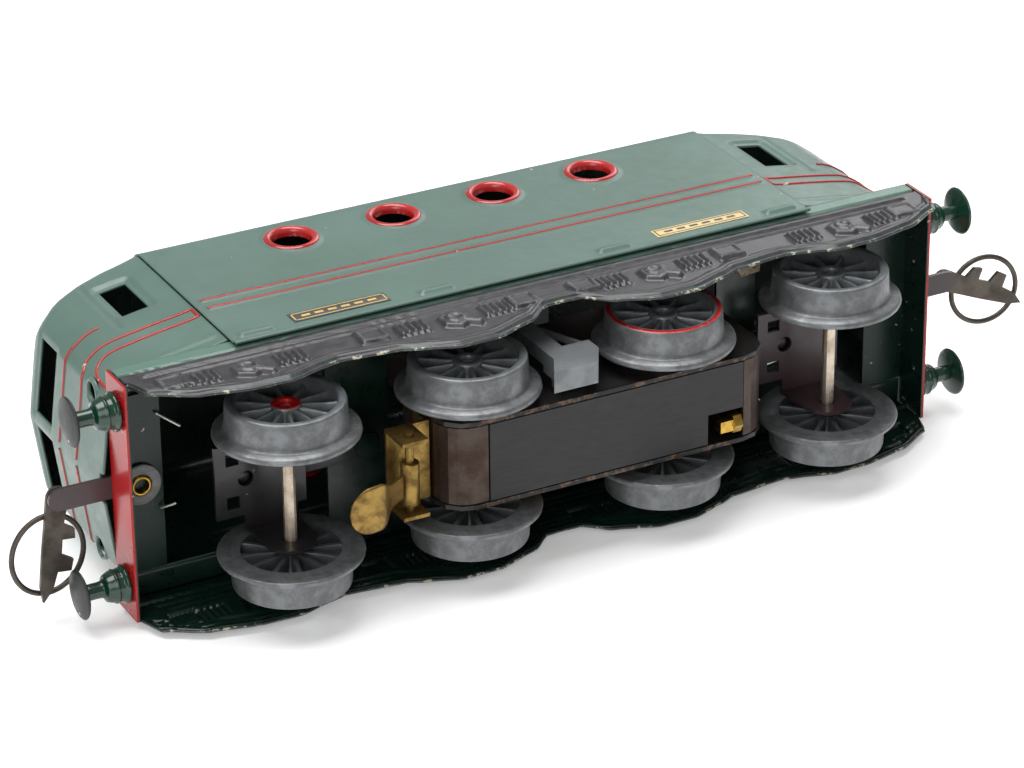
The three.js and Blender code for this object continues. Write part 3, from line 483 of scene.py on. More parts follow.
print(f"body half width {HALF:.1f}, foot {FOOT:.1f}, crown {CROWN:.1f}, seam at {SEAM:.1f}")

# %% Pressed shapes
def bump_up(value, centre, half_width, soft):
    return 1 - ease(abs(value - centre), half_width, half_width + soft)


def pressed_box(x, z, centre, size, soft=0.5):
    return bump_up(x, centre[0], size[0] / 2, soft) * bump_up(z, centre[1], size[1] / 2, soft)


def body_press(x, z):
    push = 0.45 * bump_up(z, FOOT + 0.7, 0.25, 0.5)
    inside = ease(SEAM - abs(x), 1.2, 2.4)
    for line in LINES:
        push = max(push, 0.3 * bump_up(z, line, 0.35, 0.75) * inside)
    for tab in TABS:
        lift = pressed_box(x, z, (tab, 33.9), (6.6, 1.3), 0.7)
        push = max(push, 0.75 * lift * (1 - 0.3 * bump_up(z, 34.6, 0.2, 0.6)))
    for centre in PORTHOLE_X:
        away = math.hypot(x - centre, z - PORTHOLE_Z)
        push = max(push, 0.35 * (1 - ease(away, RIM_R - 0.3, RIM_R + 0.9)))
    return push


print("a tab stands out by", round(body_press(21.4, 33.9), 2), "mm")

# %% The panel itself
def body_panel():
    rows = [(i / 150) for i in range(151)]
    outline = wall_and_roof(HALF, CROWN, SHOULDER_R, FOOT, rows)
    section = outline + [(-y, z) for y, z in reversed(outline[:-1])]
    columns = 330
    points = []
    for i in range(columns + 1):
        x = -SEAM + 2 * SEAM * i / columns
        for y, z in section:
            push = body_press(x, z) if abs(y) > HALF - 0.01 else 0.0
            points.append(at(x, y + math.copysign(push, y), z))
    faces = []
    count = len(section)
    for i in range(columns):
        x = -SEAM + 2 * SEAM * (i + 0.5) / columns
        for k in range(count - 1):
            z = (section[k][1] + section[k + 1][1]) / 2
            hole = any(math.hypot(x - centre, z - PORTHOLE_Z) < PORTHOLE_R + 0.5 for centre in PORTHOLE_X)
            if not (hole and abs(section[k][0]) > HALF - 0.01):
                a = i * count + k
                faces.append((a, a + 1, a + count + 1, a + count))
    piece = mesh_piece("body_panel", points, faces, [green_enamel, inside_enamel])
    sheet = piece.modifiers.new("sheet", "SOLIDIFY")
    sheet.thickness = 0.4 * MM
    sheet.offset = -1
    sheet.material_offset = 1
    sheet.material_offset_rim = 0
    return seat(apply_modifiers(piece), "chassis", "green_paint", "body_shell")


panel = body_panel()
print("body panel points:", len(panel.data.vertices))

# %% [markdown]
# The portholes have a rolled rim in glossy red, with bright spots where the light falls. The
# lining is red paint on top of the pressed ridges. Both are their own pieces, so the paint has a
# crisp edge on any view.

# %% Porthole rims and lining
def porthole_rims():
    roll = [(PORTHOLE_R, -1.3), (PORTHOLE_R, -0.2), (PORTHOLE_R + 0.35, 0.45), (PORTHOLE_R + 0.9, 0.72),
            (RIM_R - 0.55, 0.66), (RIM_R - 0.12, 0.42), (RIM_R, 0.15), (RIM_R, -0.2)]
    for side in (-1, 1):
        for number, x in enumerate(PORTHOLE_X, 1):
            profile = [(r, side * (HALF + h)) for r, h in roll]
            rim = turned("porthole_rim_%s_%d" % (hand(side), number), profile, at(x, 0, PORTHOLE_Z),
                         "y", rim_red, 64)
            seat(rim, "chassis", "red_paint")


def ribbon(name, path, normals, width, rise, finish):
    points, faces = [], []
    across = [(-0.5, 0.0), (-0.36, 0.75), (-0.12, 1.0), (0.12, 1.0), (0.36, 0.75), (0.5, 0.0)]
    for k, (place, normal) in enumerate(zip(path, normals)):
        ahead = (path[min(k + 1, len(path) - 1)] - path[max(k - 1, 0)]).normalized()
        side = ahead.cross(normal).normalized()
        for u, h in across:
            points.append(place + side * u * width * MM + normal * h * rise * MM)
    n = len(across)
    for k in range(len(path) - 1):
        for j in range(n - 1):
            faces.append((k * n + j, k * n + j + 1, (k + 1) * n + j + 1, (k + 1) * n + j))
    return mesh_piece(name, points, faces, [finish])


def body_lining():
    for side in (-1, 1):
        for number, line in enumerate(LINES, 1):
            xs = [-SEAM + 1.8 + (2 * SEAM - 3.6) * i / 60 for i in range(61)]
            path = [at(x, side * (HALF + 0.26), line) for x in xs]
            strip = ribbon("body_line_%s_%d" % (hand(side), number), path,
                           [Vector((0, side, 0))] * 61, 0.8, 0.2, line_red)
            seat(strip, "chassis", "red_paint")


porthole_rims()
body_lining()
print("porthole rim outside radius:", RIM_R)

# %% [markdown]
# ## The cabs
# Each cab is one deep pressing that narrows towards its nose. Its walls are upright, its roof falls
# away and it carries two windscreens, a window on each side and two headlight holes. The form is
# lofted through ten stations. The grid lines run along the window edges, so the openings are cut by
# leaving faces out, and the metal round them dips inwards a little, as pressed windows do.

# %% Stations of a cab
CAB_STATIONS = (
    (0, 27.4, 88, 5), (3, 26.8, 87.4, 5), (9, 25.9, 86.1, 4.9), (15, 24.9, 84, 4.6), (20, 23.9, 81.2, 4.2),
    (22.3, 23, 79.6, 3.9), (25.3, 21, 77.3, 3.5), (27, 18.8, 75.8, 3), (28.4, 9, 74.6, 2.4),
    (29.5, 0.8, 73.6, 0.5))
CAB_FOOT = low_high("front_cab")[0][2]
SEAM_GAP = 0.3
SIDE_WINDOW = (6.6, 12.6, 60.4, 73.4)
SCREEN = (1.9, 18.6, 62.6, 71.0)
LAMP_Y, LAMP_Z, LAMP_R = 18.2, 43.0, 2.1


def along_plan():
    run = [0.0]
    for first, second in zip(CAB_STATIONS, CAB_STATIONS[1:]):
        run.append(run[-1] + math.hypot(second[0] - first[0], second[1] - first[1]))
    return run


PLAN_RUN = along_plan()
ROUNDING = 0.35


def glide(a, b, c, d, f):
    square, cube = 2 * a - 5 * b + 4 * c - d, 3 * b - a - 3 * c + d
    return 0.5 * (2 * b + (c - a) * f + square * f * f + cube * f ** 3)


def station(run):
    k = max(i for i in range(len(PLAN_RUN) - 1) if PLAN_RUN[i] <= run or i == 0)
    f = min(max((run - PLAN_RUN[k]) / (PLAN_RUN[k + 1] - PLAN_RUN[k]), 0), 1)
    picks = [CAB_STATIONS[min(max(k + j, 0), len(CAB_STATIONS) - 1)] for j in (-1, 0, 1, 2)]
    smooth = [glide(a, b, c, d, f) for a, b, c, d in zip(*picks)]
    straight = [b + (c - b) * f for _, b, c, _ in zip(*picks)]
    return [s * ROUNDING + t * (1 - ROUNDING) for s, t in zip(smooth, straight)]


def run_at(value, column):
    for k in range(len(PLAN_RUN) - 1):
        a, b = CAB_STATIONS[k][column], CAB_STATIONS[k + 1][column]
        if min(a, b) <= value <= max(a, b):
            return PLAN_RUN[k] + (PLAN_RUN[k + 1] - PLAN_RUN[k]) * (value - a) / (b - a)
    return PLAN_RUN[-1]


print("length of the plan line from seam to nose:", round(PLAN_RUN[-1], 1), "mm")

# %% Grid lines of a cab
def grid_lines(stops, spacing):
    lines = []
    for low, high in zip(stops, stops[1:]):
        steps = max(1, round((high - low) / spacing))
        lines += [low + (high - low) * i / steps for i in range(steps)]
    return lines + [stops[-1]]


RUNS = grid_lines([0, run_at(SIDE_WINDOW[0], 0), run_at(SIDE_WINDOW[1], 0), run_at(SCREEN[1], 1),
                   run_at(SCREEN[0], 1), PLAN_RUN[-1]], 0.42)
LEVELS = grid_lines([CAB_FOOT, SIDE_WINDOW[2], SCREEN[2], SCREEN[3]], 0.42)
TOP_STEPS = 22


def wall_levels(shoulder):
    top = SCREEN[3]
    sill = SIDE_WINDOW[3] if shoulder > SIDE_WINDOW[3] + 1.5 else top + (shoulder - top) * 0.25
    upper = [top + (sill - top) * i / 5 for i in range(1, 6)]
    last = TOP_STEPS - 5
    return LEVELS + upper + [sill + (shoulder - sill) * i / last for i in range(1, last + 1)]


print("cab grid:", len(RUNS), "by", len(LEVELS) + TOP_STEPS)

# %% Pressed shapes of a cab
def outside_box(u, v, u0, u1, v0, v1):
    return math.hypot(max(u0 - u, 0, u - u1), max(v0 - v, 0, v - v1))


WINDOW_RUN = (run_at(SIDE_WINDOW[0], 0), run_at(SIDE_WINDOW[1], 0))
SCREEN_RUN = (run_at(SCREEN[1], 1), run_at(SCREEN[0], 1))


def cab_press(run, z):
    push = -0.7 * (1 - ease(outside_box(run, z, *WINDOW_RUN, SIDE_WINDOW[2], SIDE_WINDOW[3]), 0.5, 2.2))
    push -= 0.35 * (1 - ease(outside_box(run, z, *SCREEN_RUN, SCREEN[2], SCREEN[3]), 0.3, 1.5))
    push -= 0.4 * bump_up(run, 15.4, 0.2, 0.8) * ease(z, 53.5, 56)
    push += 0.3 * bump_up(z, 37.8, 0.3, 0.9) * bump_up(run, 10, 8, 1.5)
    return push


def cab_place(sign, side, run, z, lift=0.0):
    t, half, _, _ = station(run)
    t2, half2 = station(run + 0.2)[:2]
    t1, half1 = station(max(run - 0.2, 0))[:2]
    along = Vector((t2 - t1, half2 - half1)).normalized()
    out_x, out_y = -along[1], along[0]
    push = cab_press(run, z) + lift
    x = sign * (SEAM + SEAM_GAP / 2 + t + out_x * push)
    return at(x, side * (half + out_y * push), z), Vector((sign * out_x, side * out_y, 0)).normalized()


print("nose of a cab at x =", round((cab_place(1, -1, PLAN_RUN[-1], 50)[0].x - MIDDLE) / MM, 1))

# %% The cab pressing
def cab_column(sign, side, run):
    t, half, crown, radius = station(run)
    rise = radius + CROWN_RISE * (half / HALF) ** 2
    levels = wall_levels(crown - rise)
    heights = [(z - CAB_FOOT) / (levels[-1] - CAB_FOOT) for z in levels]
    outline = wall_and_roof(half, crown, radius, CAB_FOOT, heights, 20)
    closed = 0.0 if run >= PLAN_RUN[-1] else 1.0
    x = sign * (SEAM + SEAM_GAP / 2 + t)
    points = []
    for k, (y, z) in enumerate(outline):
        if k < len(levels) and closed:
            points.append(cab_place(sign, side, run, z)[0])
        else:
            points.append(at(x, side * y * closed, z))
    return points


def cab_opening(run, z):
    t, half = station(run)[:2]
    if WINDOW_RUN[0] < run < WINDOW_RUN[1] and SIDE_WINDOW[2] < z < SIDE_WINDOW[3]:
        return True
    if SCREEN_RUN[0] < run < SCREEN_RUN[1] and SCREEN[2] < z < SCREEN[3]:
        return True
    if t > 20 and math.hypot(half - LAMP_Y, z - LAMP_Z) < LAMP_R + 0.3:
        return True
    return half < 3.3 and z < CAB_FOOT + 1.4


def cab_pressing(name, sign, node):
    points, faces = [], []
    for side in (-1, 1):
        start = len(points)
        columns = [cab_column(sign, side, run) for run in RUNS]
        count = len(columns[0])
        points += [p for column in columns for p in column]
        for i in range(len(RUNS) - 1):
            middle = (RUNS[i] + RUNS[i + 1]) / 2
            for k in range(count - 1):
                z = (columns[i][k].z + columns[i][k + 1].z) / 2 / MM
                if not cab_opening(middle, z):
                    a = start + i * count + k
                    quad = (a, a + count, a + count + 1, a + 1)
                    faces.append(quad if sign * side < 0 else quad[::-1])
    piece = mesh_piece(name, points, faces, [green_enamel, inside_enamel])
    work = bmesh.new()
    work.from_mesh(piece.data)
    bmesh.ops.remove_doubles(work, verts=work.verts, dist=0.01 * MM)
    work.to_mesh(piece.data)
    work.free()
    sheet = piece.modifiers.new("sheet", "SOLIDIFY")
    sheet.thickness = 0.55 * MM
    sheet.offset = -1
    sheet.material_offset = 1
    sheet.material_offset_rim = 0
    return seat(apply_modifiers(piece), "chassis", "green_paint", node)


front_pressing = cab_pressing("front_cab_pressing", -1, "front_cab")
cab_pressing("rear_cab_pressing", 1, "rear_cab")
print("cab points:", len(front_pressing.data.vertices))

# %% Lining and lamp rims of the cabs
LAMP_RUN = run_at(LAMP_Y, 1)
CAB_LINES = (
    ((19, 58.4), (21.5, 58.3), (LAMP_RUN - 3.4, 57.8), (LAMP_RUN, 57.4), (PLAN_RUN[-1] - 9, 57.2),
     (PLAN_RUN[-1], 57.2)),
    ((0.7, 51.3), (12, 51.3), (20, 51.3), (LAMP_RUN - 4, 50.6), (LAMP_RUN - 1.6, 48.9),
     (LAMP_RUN + 1.5, 48.2), (PLAN_RUN[-1] - 9, 48.0), (PLAN_RUN[-1], 48.0)),
    ((0.7, 51.3), (0.7, 49.4), (0.7, 47.5)),
    ((0.7, 47.5), (12, 47.5), (19, 47.5), (LAMP_RUN - 6.6, 47.2), (LAMP_RUN - 4.2, 45.6),
     (LAMP_RUN - 3.1, 43), (LAMP_RUN - 2.8, 39), (LAMP_RUN - 2.8, 36.4)))


def smooth_run(stops, steps=14):
    out = []
    for k in range(len(stops) - 1):
        picks = [stops[min(max(k + j, 0), len(stops) - 1)] for j in (-1, 0, 1, 2)]
        for i in range(steps):
            out.append([glide(a, b, c, d, i / steps) for a, b, c, d in zip(*picks)])
    return out + [list(stops[-1])]


def cab_lining(prefix, sign):
    for side in (-1, 1):
        for number, stops in enumerate(CAB_LINES, 1):
            spots = [cab_place(sign, side, run, z, 0.02) for run, z in smooth_run(stops)]
            name = "%s_cab_line_%s_%d" % (prefix, hand(side), number)
            strip = ribbon(name, [p for p, n in spots], [n for p, n in spots], 0.8, 0.3, line_red)
            seat(strip, "chassis", "red_paint")
        roll = [(LAMP_R, -0.6), (LAMP_R, 0.0), (LAMP_R + 0.2, 0.2), (LAMP_R + 0.6, 0.1),
                (LAMP_R + 0.8, -0.6)]
        place = cab_place(sign, side, LAMP_RUN, LAMP_Z)[0]
        profile = [(r, sign * h) for r, h in roll]
        rim = turned("%s_lamp_rim_%s" % (prefix, hand(side)), profile, place, "x", green_enamel, 40)
        seat(rim, "chassis", "green_paint")


cab_lining("front", -1)
cab_lining("rear", 1)
print("lamp holes at y = +-", LAMP_Y)

# %% [markdown]
# ## The skirts
# The skirts imitate the bogie sides of the real engine: ribbed springs, six-sided axle boxes,
# lockers, a rail along the top and a stepped bead that follows the wavy lower edge. It is all one
# pressing, so it is one sheet here too, and a function gives how far each point is pressed out.

# %% Outline and pressed work of a skirt
SKIRT_EDGE = ((0, 16.9), (4, 16.7), (9.5, 12), (19.5, 8.3), (28, 8.2), (36, 11), (40, 12.8),
              (53, 14.2), (56.8, 13.3), (65, 10.9), (73.5, 11.2), (84.5, 13.6), (93.2, 18.5), (95.4, 24.4))
SKIRT_FACE, SKIRT_TOP, SKIRT_LIP = 27.1, 34.0, 6.4
AXLEBOXES, BOX_Z, SPRING_REACH = (23.8, 71.0), 20.0, 9.8
LOCKERS = (7.2, 42.5, 87.0)
SKIRT_END = low_high("left_skirt")[1][0]


def edge_height(x):
    x = abs(x)
    for (x0, z0), (x1, z1) in zip(SKIRT_EDGE, SKIRT_EDGE[1:]):
        if x <= x1:
            f = (x - x0) / (x1 - x0)
            return z0 + (z1 - z0) * (f * 0.6 + ease(f, 0, 1) * 0.4)
    return SKIRT_EDGE[-1][1]


def axlebox(u, v):
    corner = max(abs(u), abs(u) * 0.5 + abs(v) * 0.866)
    push = 0.95 * (1 - ease(corner, 2.9, 3.6))
    away = math.hypot(u, v)
    push = max(push, 1.35 * (1 - ease(away, 1.9, 2.3)) - 0.35 * (1 - ease(away, 0.9, 1.4)))
    along, off = u * 0.75 - v * 0.66, u * 0.66 + v * 0.75
    if 1.5 < along < 6.2:
        push = max(push, 1.25 * math.sqrt(max(0, 1 - (off / 1.15) ** 2)) * (1 - ease(along, 5.6, 6.2)))
    return push


def spring(u, v):
    pack = bump_up(u, 0, 3.0, 0.4) * bump_up(v, 0, 2.3, 0.4)
    ribs = 0.5 + 0.5 * math.cos(2 * math.pi * u / 1.5)
    return pack * (0.3 + 0.8 * ribs) * (1 if abs(v) < 2.3 else 0.8)


def locker(u, v):
    lid = bump_up(u, 0, 2.9, 0.4) * bump_up(v, 0, 2.5, 0.4)
    return lid * (0.95 - 0.25 * bump_up(u, 0, 2.0, 0.4) * bump_up(v, 0, 1.6, 0.4))


def skirt_press(x, z):
    above = z - edge_height(x)
    push = 0.45 * bump_up(above, 0.5, 0.2, 0.35)
    push = max(push, 0.7 * bump_up(above, 2.3, 0.5, 0.35) * ease(27 - z, 0, 2))
    push = max(push, 0.4 * bump_up(above, 3.9, 0.45, 0.35) * ease(25 - z, 0, 2))
    push = max(push, 0.55 * bump_up(z, 27.6, 0.55, 0.4) * bump_up(x, 0, 90, 2))
    push = max(push, 0.35 * bump_up(z, 25.4, 0.3, 0.35) * bump_up(x, 0, 88, 2))
    for centre in AXLEBOXES:
        for mirror in (-1, 1):
            u, v = x - mirror * centre, z - BOX_Z
            springs = [spring(u + reach, v - 0.6) for reach in (-SPRING_REACH, SPRING_REACH)]
            push = max(push, axlebox(u, v), *springs)
    for centre in LOCKERS:
        for mirror in (-1, 1):
            push = max(push, locker(x - mirror * centre, z - BOX_Z - 1.5))
    step_in = 0.9 * ease(z, 29.6, 30.2) * (1 - ease(z, 30.3, 30.6))
    return push - step_in


print("an axle box stands out by", round(skirt_press(23.8, 20), 2), "mm")

# %% The skirt pressings
def skirt_pressing(name, side, node):
    columns, lip_rows, rows = 720, 6, 62
    points, heights, edges = [], [], []
    for i in range(columns + 1):
        x = -SKIRT_END + 2 * SKIRT_END * i / columns
        low = edge_height(x)
        for k in range(lip_rows):
            points.append(at(x, side * (SKIRT_FACE - SKIRT_LIP * (1 - k / lip_rows)), SKIRT_TOP - 0.1))
            heights.append(0.0)
            edges.append(0.0)
        for k in range(rows + 1):
            z = SKIRT_TOP - 0.1 + (low - SKIRT_TOP + 0.1) * k / rows
            push = skirt_press(x, z) if k else 0.0
            points.append(at(x, side * (SKIRT_FACE - 0.02 + push), z))
            heights.append(push)
            edges.append(1 - min(1, (z - low) / 4.5))
    count = lip_rows + rows + 1
    faces = []
    for i in range(columns):
        for k in range(count - 1):
            a = i * count + k
            quad = (a, a + 1, a + count + 1, a + count)
            faces.append(quad if side < 0 else quad[::-1])
    piece = mesh_piece(name, points, faces, [skirt_black, inside_enamel])
    for label, numbers in (("height", heights), ("edge", edges)):
        piece.data.attributes.new(label, "FLOAT", "POINT").data.foreach_set("value", numbers)
    sheet = piece.modifiers.new("sheet", "SOLIDIFY")
    sheet.thickness = 0.5 * MM
    sheet.offset = -1
    sheet.material_offset = 1
    sheet.material_offset_rim = 0
    return seat(apply_modifiers(piece), "chassis", "black_paint", node)


left_pressing = skirt_pressing("left_skirt_pressing", -1, "left_skirt")
skirt_pressing("right_skirt_pressing", 1, "right_skirt")
print("skirt points:", len(left_pressing.data.vertices))

# %% [markdown]
# ## Headstocks, buffers and the plates
# The headstock is red outside and green inside, so its finish asks on which side of the sheet a
# point is. The buffers are turned. The two plates on each side carry only dashes and a frame.

# %% Two-tone headstocks
def two_tone(name, sign):
    web = Web(name)
    x, _, _ = web.parts(web.place())
    face = low_high("front_headstock" if sign < 0 else "rear_headstock")[0 if sign < 0 else 1][0]
    inner_side = face * sign * MM + MIDDLE * sign - 0.5 * MM
    outer = (x * sign).over(inner_side - 0.05 * MM, inner_side + 0.05 * MM)
    drift = web.cloud(12, 4).over(0.35, 0.7)
    red = web.mix(drift, srgb(158, 16, 20), srgb(176, 24, 26))
    green = web.mix(drift, srgb(7, 30, 22), srgb(11, 40, 30))
    colour = web.mix(outer, green, red)
    chips = web.cloud(1.6, 3).over(0.72, 0.73)
    colour = web.mix(chips, colour, srgb(186, 176, 166))
    return web.finish(colour, drift * 0.1 + 0.26, coat=outer * 0.15, bump=web.cloud(3, 2), depth=0.05,
                      strength=0.3, specular=0.35)


for end, sign in (("front", -1), ("rear", 1)):
    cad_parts[end + "_headstock"].data.materials.clear()
    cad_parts[end + "_headstock"].data.materials.append(two_tone(end + "_headstock_enamel", sign))
print("headstocks painted")

# %% Buffers
def round_off(profile, steps=4):
    out = [profile[0]]
    for before, corner, after in zip(profile, profile[1:], profile[2:]):
        for i in range(steps + 1):
            f = i / steps
            a = [c + (b - c) * 0.3 * (1 - f) for b, c in zip(before, corner)]
            d = [c + (b - c) * 0.3 * f for b, c in zip(after, corner)]
            out.append([a[n] * (1 - f) + d[n] * f for n in (0, 1)])
    return out + [profile[-1]]


def buffer_pieces(end, sign, side):
    node = "%s_%s_buffer" % (end, hand(side))
    low, high = low_high(node)
    base = high[0] if sign < 0 else low[0]
    reach = high[0] - low[0]
    head_r = (high[2] - low[2]) / 2
    centre = at(base, (low[1] + high[1]) / 2, (low[2] + high[2]) / 2)
    stem = [(0, 0), (4.2, 0), (4.25, 0.7), (3.6, 1.2), (3.55, 2.2), (3.8, 2.6), (3.5, 3.0), (2.9, 4.6),
            (2.3, 4.9), (1.75, 5.3), (1.75, reach - 1.9), (0, reach - 1.8)]
    head = [(0, reach - 2.3), (1.7, reach - 2.2), (3.2, reach - 1.9), (head_r - 0.4, reach - 1.5),
            (head_r, reach - 1.1), (head_r - 0.25, reach - 0.75), (3.4, reach - 0.25),
            (1.6, reach - 0.03), (0, reach)]
    stem_profile = [(r, sign * h) for r, h in round_off(stem)]
    body = turned(node + "_stem", stem_profile, centre, "x", buffer_green, 64)
    seat(body, "chassis", "dark_green_paint", node)
    paint = buffer_black if sign < 0 else buffer_green
    seat(turned(node + "_head", [(r, sign * h) for r, h in round_off(head)], centre, "x", paint, 64),
         "chassis", "black_paint" if sign < 0 else "dark_green_paint")


for end, sign in (("front", -1), ("rear", 1)):
    for side in (-1, 1):
        buffer_pieces(end, sign, side)
print("buffers turned")

# %% Side plates with dashes
def side_plate(name, side, x0, x1, z0, z1, ground, mark):
    outline = [(x0, z0), (x1, z0), (x1, z1), (x0, z1)]
    y = side * (HALF + 0.02)
    low, high = sorted((y, y + side * 0.16))
    seat(cut_out(name, outline, low, high, "y", ground, 0.03), "chassis", "brass")
    edges = (((x0, z0), (x1, z0 + 0.3)), ((x0, z1 - 0.3), (x1, z1)),
             ((x0, z0), (x0 + 0.3, z1)), ((x1 - 0.3, z0), (x1, z1)))
    strokes = list(edges)
    wide, middle = (x1 - x0 - 4) / 6, (z0 + z1) / 2
    for i in range(6):
        left = x0 + 2 + i * wide
        strokes.append(((left + wide * 0.15, middle - 0.4), (left + wide * 0.8, middle + 0.4)))
    points, faces = [], []
    for (a, b), (c, d) in strokes:
        inset = 0.45 if (a, b) in ((x0, z0), (x0, z1 - 0.3), (x1 - 0.3, z0)) else 0.0
        u0, u1 = max(a, x0 + 0.45), min(c, x1 - 0.45)
        v0, v1 = max(b, z0 + 0.4), min(d, z1 - 0.4)
        if (c - a) <= 0.31:
            u0, u1 = (a + inset, c + inset) if a == x0 else (a - 0.45, c - 0.45)
        elif (d - b) <= 0.31:
            v0, v1 = (b + 0.4, d + 0.4) if b == z0 else (b - 0.4, d - 0.4)
        n = len(points)
        points += [at(u, y + side * 0.19, v) for u, v in ((u0, v0), (u1, v0), (u1, v1), (u0, v1))]
        faces.append((n, n + 1, n + 2, n + 3))
    seat(mesh_piece(name + "_marks", points, faces, [mark], smooth=False), "chassis", "brass")


for side in (-1, 1):
    tag = hand(side)
    dark_x = sorted((side * 54.0, side * 31.7))
    cream_x = sorted((side * -32.6, side * -55.4))
    side_plate("dark_plate_" + tag, side, *dark_x, 33.9, 37.9, dark_plate, gilt)
    side_plate("cream_plate_" + tag, side, *cream_x, 33.9, 37.5, cream_plate, dark_plate)
print("plates fitted")

# %% [markdown]
# ## The wheels
# The wheels are die castings: a broad tread, a flange towards the motor and twelve thin spokes over a
# recessed face. A turned rim, a hub and a ring of tapered spokes make one, joined into one mesh. The
# tread is rubbed bright, so its finish asks how far a point is from the middle of the axle. The finish
# also paints shade deep in the recess: the spokes, hub and rim bore darken towards the wheel's back.

# %% Wheel finish
FLANGE_R, TREAD_R, RIM_INNER, WHEEL_WIDE, FLANGE_W = 15.5, 12.85, 10.6, 7.8, 1.5


def wheel_finish(name, hub_colour, rim_colour):
    web = Web(name)
    place = web.place()
    x, y, z = web.parts(place)
    away = (x * x + z * z).math("SQRT") / MM
    mottle = web.cloud(3, 6, 0.65)
    fine = web.cloud(0.6, 4, 0.6)
    colour = web.mix(mottle.over(0.35, 0.68), srgb(120, 124, 126), srgb(100, 104, 107))
    inside = 1 - away.over(RIM_INNER - 0.1, RIM_INNER + 0.1)
    # Painted shade: near the back of the wheel, spokes, hub and rim bore are mixed towards near black
    painted_recess_shade = (1 - y.math("ABSOLUTE").over(3.2 * MM, 5.0 * MM)) * inside * 0.45
    colour = web.mix(painted_recess_shade, colour, srgb(30, 31, 33))
    rubbed = away.over(TREAD_R - 0.6, TREAD_R - 0.2) * mottle.over(0.3, 0.6) * 0.5
    colour = web.mix(rubbed, colour, srgb(88, 86, 84))
    if hub_colour is not None:
        edge = 1 - away.over(3.0, 3.1)
        colour = web.mix(edge * fine.over(0.3, 0.34), colour, hub_colour)
    if rim_colour is not None:
        ring = away.over(RIM_INNER + 0.7, RIM_INNER + 0.8) * (1 - away.over(TREAD_R - 0.55, TREAD_R - 0.45))
        colour = web.mix(ring * web.cloud(1.2, 4).over(0.36, 0.4), colour, rim_colour)
    specks = web.cloud(1.6, 3).over(0.71, 0.72) * away.over(11, 11.6)
    colour = web.mix(specks * (1 - away.over(TREAD_R - 0.1, TREAD_R)), colour, srgb(150, 40, 40))
    rough = mottle * 0.2 + fine * 0.1 + 0.24
    return web.finish(colour, rough, 0.5, bump=fine * 0.6 + mottle, depth=0.1, strength=0.6)


wheel_zinc = wheel_finish("wheel_zinc", None, None)
wheel_red_hub = wheel_finish("wheel_red_hub", srgb(190, 30, 30), None)
wheel_red_rim = wheel_finish("wheel_red_rim", None, srgb(176, 30, 34))
print("wheel finishes ready")

# %% Wheel castings
def ring_faces(count, segments, start=0):
    faces = []
    for i in range(count - 1):
        for k in range(segments):
            n = (k + 1) % segments
            faces.append((start + i * segments + k, start + i * segments + n,
                          start + (i + 1) * segments + n, start + (i + 1) * segments + k))
    return faces


def turned_points(profile, segments, out):
    angles = [2 * math.pi * k / segments for k in range(segments)]
    return [Vector((r * math.cos(a), out * h, r * math.sin(a))) * MM for r, h in profile for a in angles]


def wheel_casting(node, body, finish):
    low, high = low_high(node)
    out = 1 if high[1] > 0 else -1
    back = low[1] if out > 0 else high[1]
    rim = [(RIM_INNER, 0.0), (FLANGE_R - 0.5, 0.0), (FLANGE_R - 0.12, 0.15), (FLANGE_R, 0.5),
           (FLANGE_R - 0.1, 1.0), (FLANGE_R - 0.5, FLANGE_W - 0.1), (TREAD_R + 0.7, FLANGE_W + 0.15),
           (TREAD_R + 0.15, FLANGE_W + 0.45), (TREAD_R, FLANGE_W + 1.0), (TREAD_R - 0.28, WHEEL_WIDE - 0.5),
           (TREAD_R - 0.4, WHEEL_WIDE - 0.15), (TREAD_R - 0.7, WHEEL_WIDE), (RIM_INNER + 0.5, WHEEL_WIDE),
           (RIM_INNER + 0.15, WHEEL_WIDE - 0.15),
           (RIM_INNER, WHEEL_WIDE - 0.6), (RIM_INNER - 0.1, 3.0), (RIM_INNER, 0.0)]
    hub = [(3.3, 0.2), (3.3, 4.2), (3.25, 6.4), (3.05, 6.8), (2.7, 6.95), (1.9, 6.9), (1.65, 6.6),
           (1.6, 6.2), (1.6, 0.2), (3.3, 0.2)]
    segments = 96
    points = turned_points(rim, segments, out)
    faces = ring_faces(len(rim), segments)
    start = len(points)
    points += turned_points(hub, segments, out)
    faces += ring_faces(len(hub), segments, start)
    for i in range(12):
        angle = 2 * math.pi * (i + 0.5) / 12
        along = Vector((math.cos(angle), 0, math.sin(angle)))
        across = Vector((-math.sin(angle), 0, math.cos(angle)))
        start = len(points)
        section = ((-1, 0.5), (-0.75, 5.6), (-0.35, 5.9), (0.35, 5.9), (0.75, 5.6), (1, 0.5), (0.8, 0.3),
                   (-0.8, 0.3))
        stops = ((2.6, 0.75, 1.1), (4.4, 0.62, 1.06), (7.4, 0.52, 1.0), (9.6, 0.58, 0.98),
                 (RIM_INNER + 0.2, 0.85, 1.0))
        for radius, half, tall in stops:
            for u, h in section:
                height = 0.3 + (h - 0.3) * tall
                points.append((along * radius + across * u * half + Vector((0, out * height, 0))) * MM)
        for s in range(len(stops) - 1):
            for k in range(len(section)):
                a, b = start + s * len(section) + k, start + s * len(section) + (k + 1) % len(section)
                faces.append((a, b, b + len(section), a + len(section)))
    piece = outward(mesh_piece(node + "_casting", points, faces, [finish]))
    piece.location = at((low[0] + high[0]) / 2, back, (low[2] + high[2]) / 2)
    piece.data.set_sharp_from_angle(angle=0.9)
    return seat(piece, body, "zinc", node)


SPECIAL_WHEELS = {"front_pony_left_wheel": wheel_red_hub, "rear_driver_left_wheel": wheel_red_rim}
for axle in ("front_driver", "rear_driver", "front_pony", "rear_pony"):
    for side in ("left", "right"):
        node = "%s_%s_wheel" % (axle, side)
        wheel_casting(node, axle, SPECIAL_WHEELS.get(node, wheel_zinc))
print("eight wheels cast")

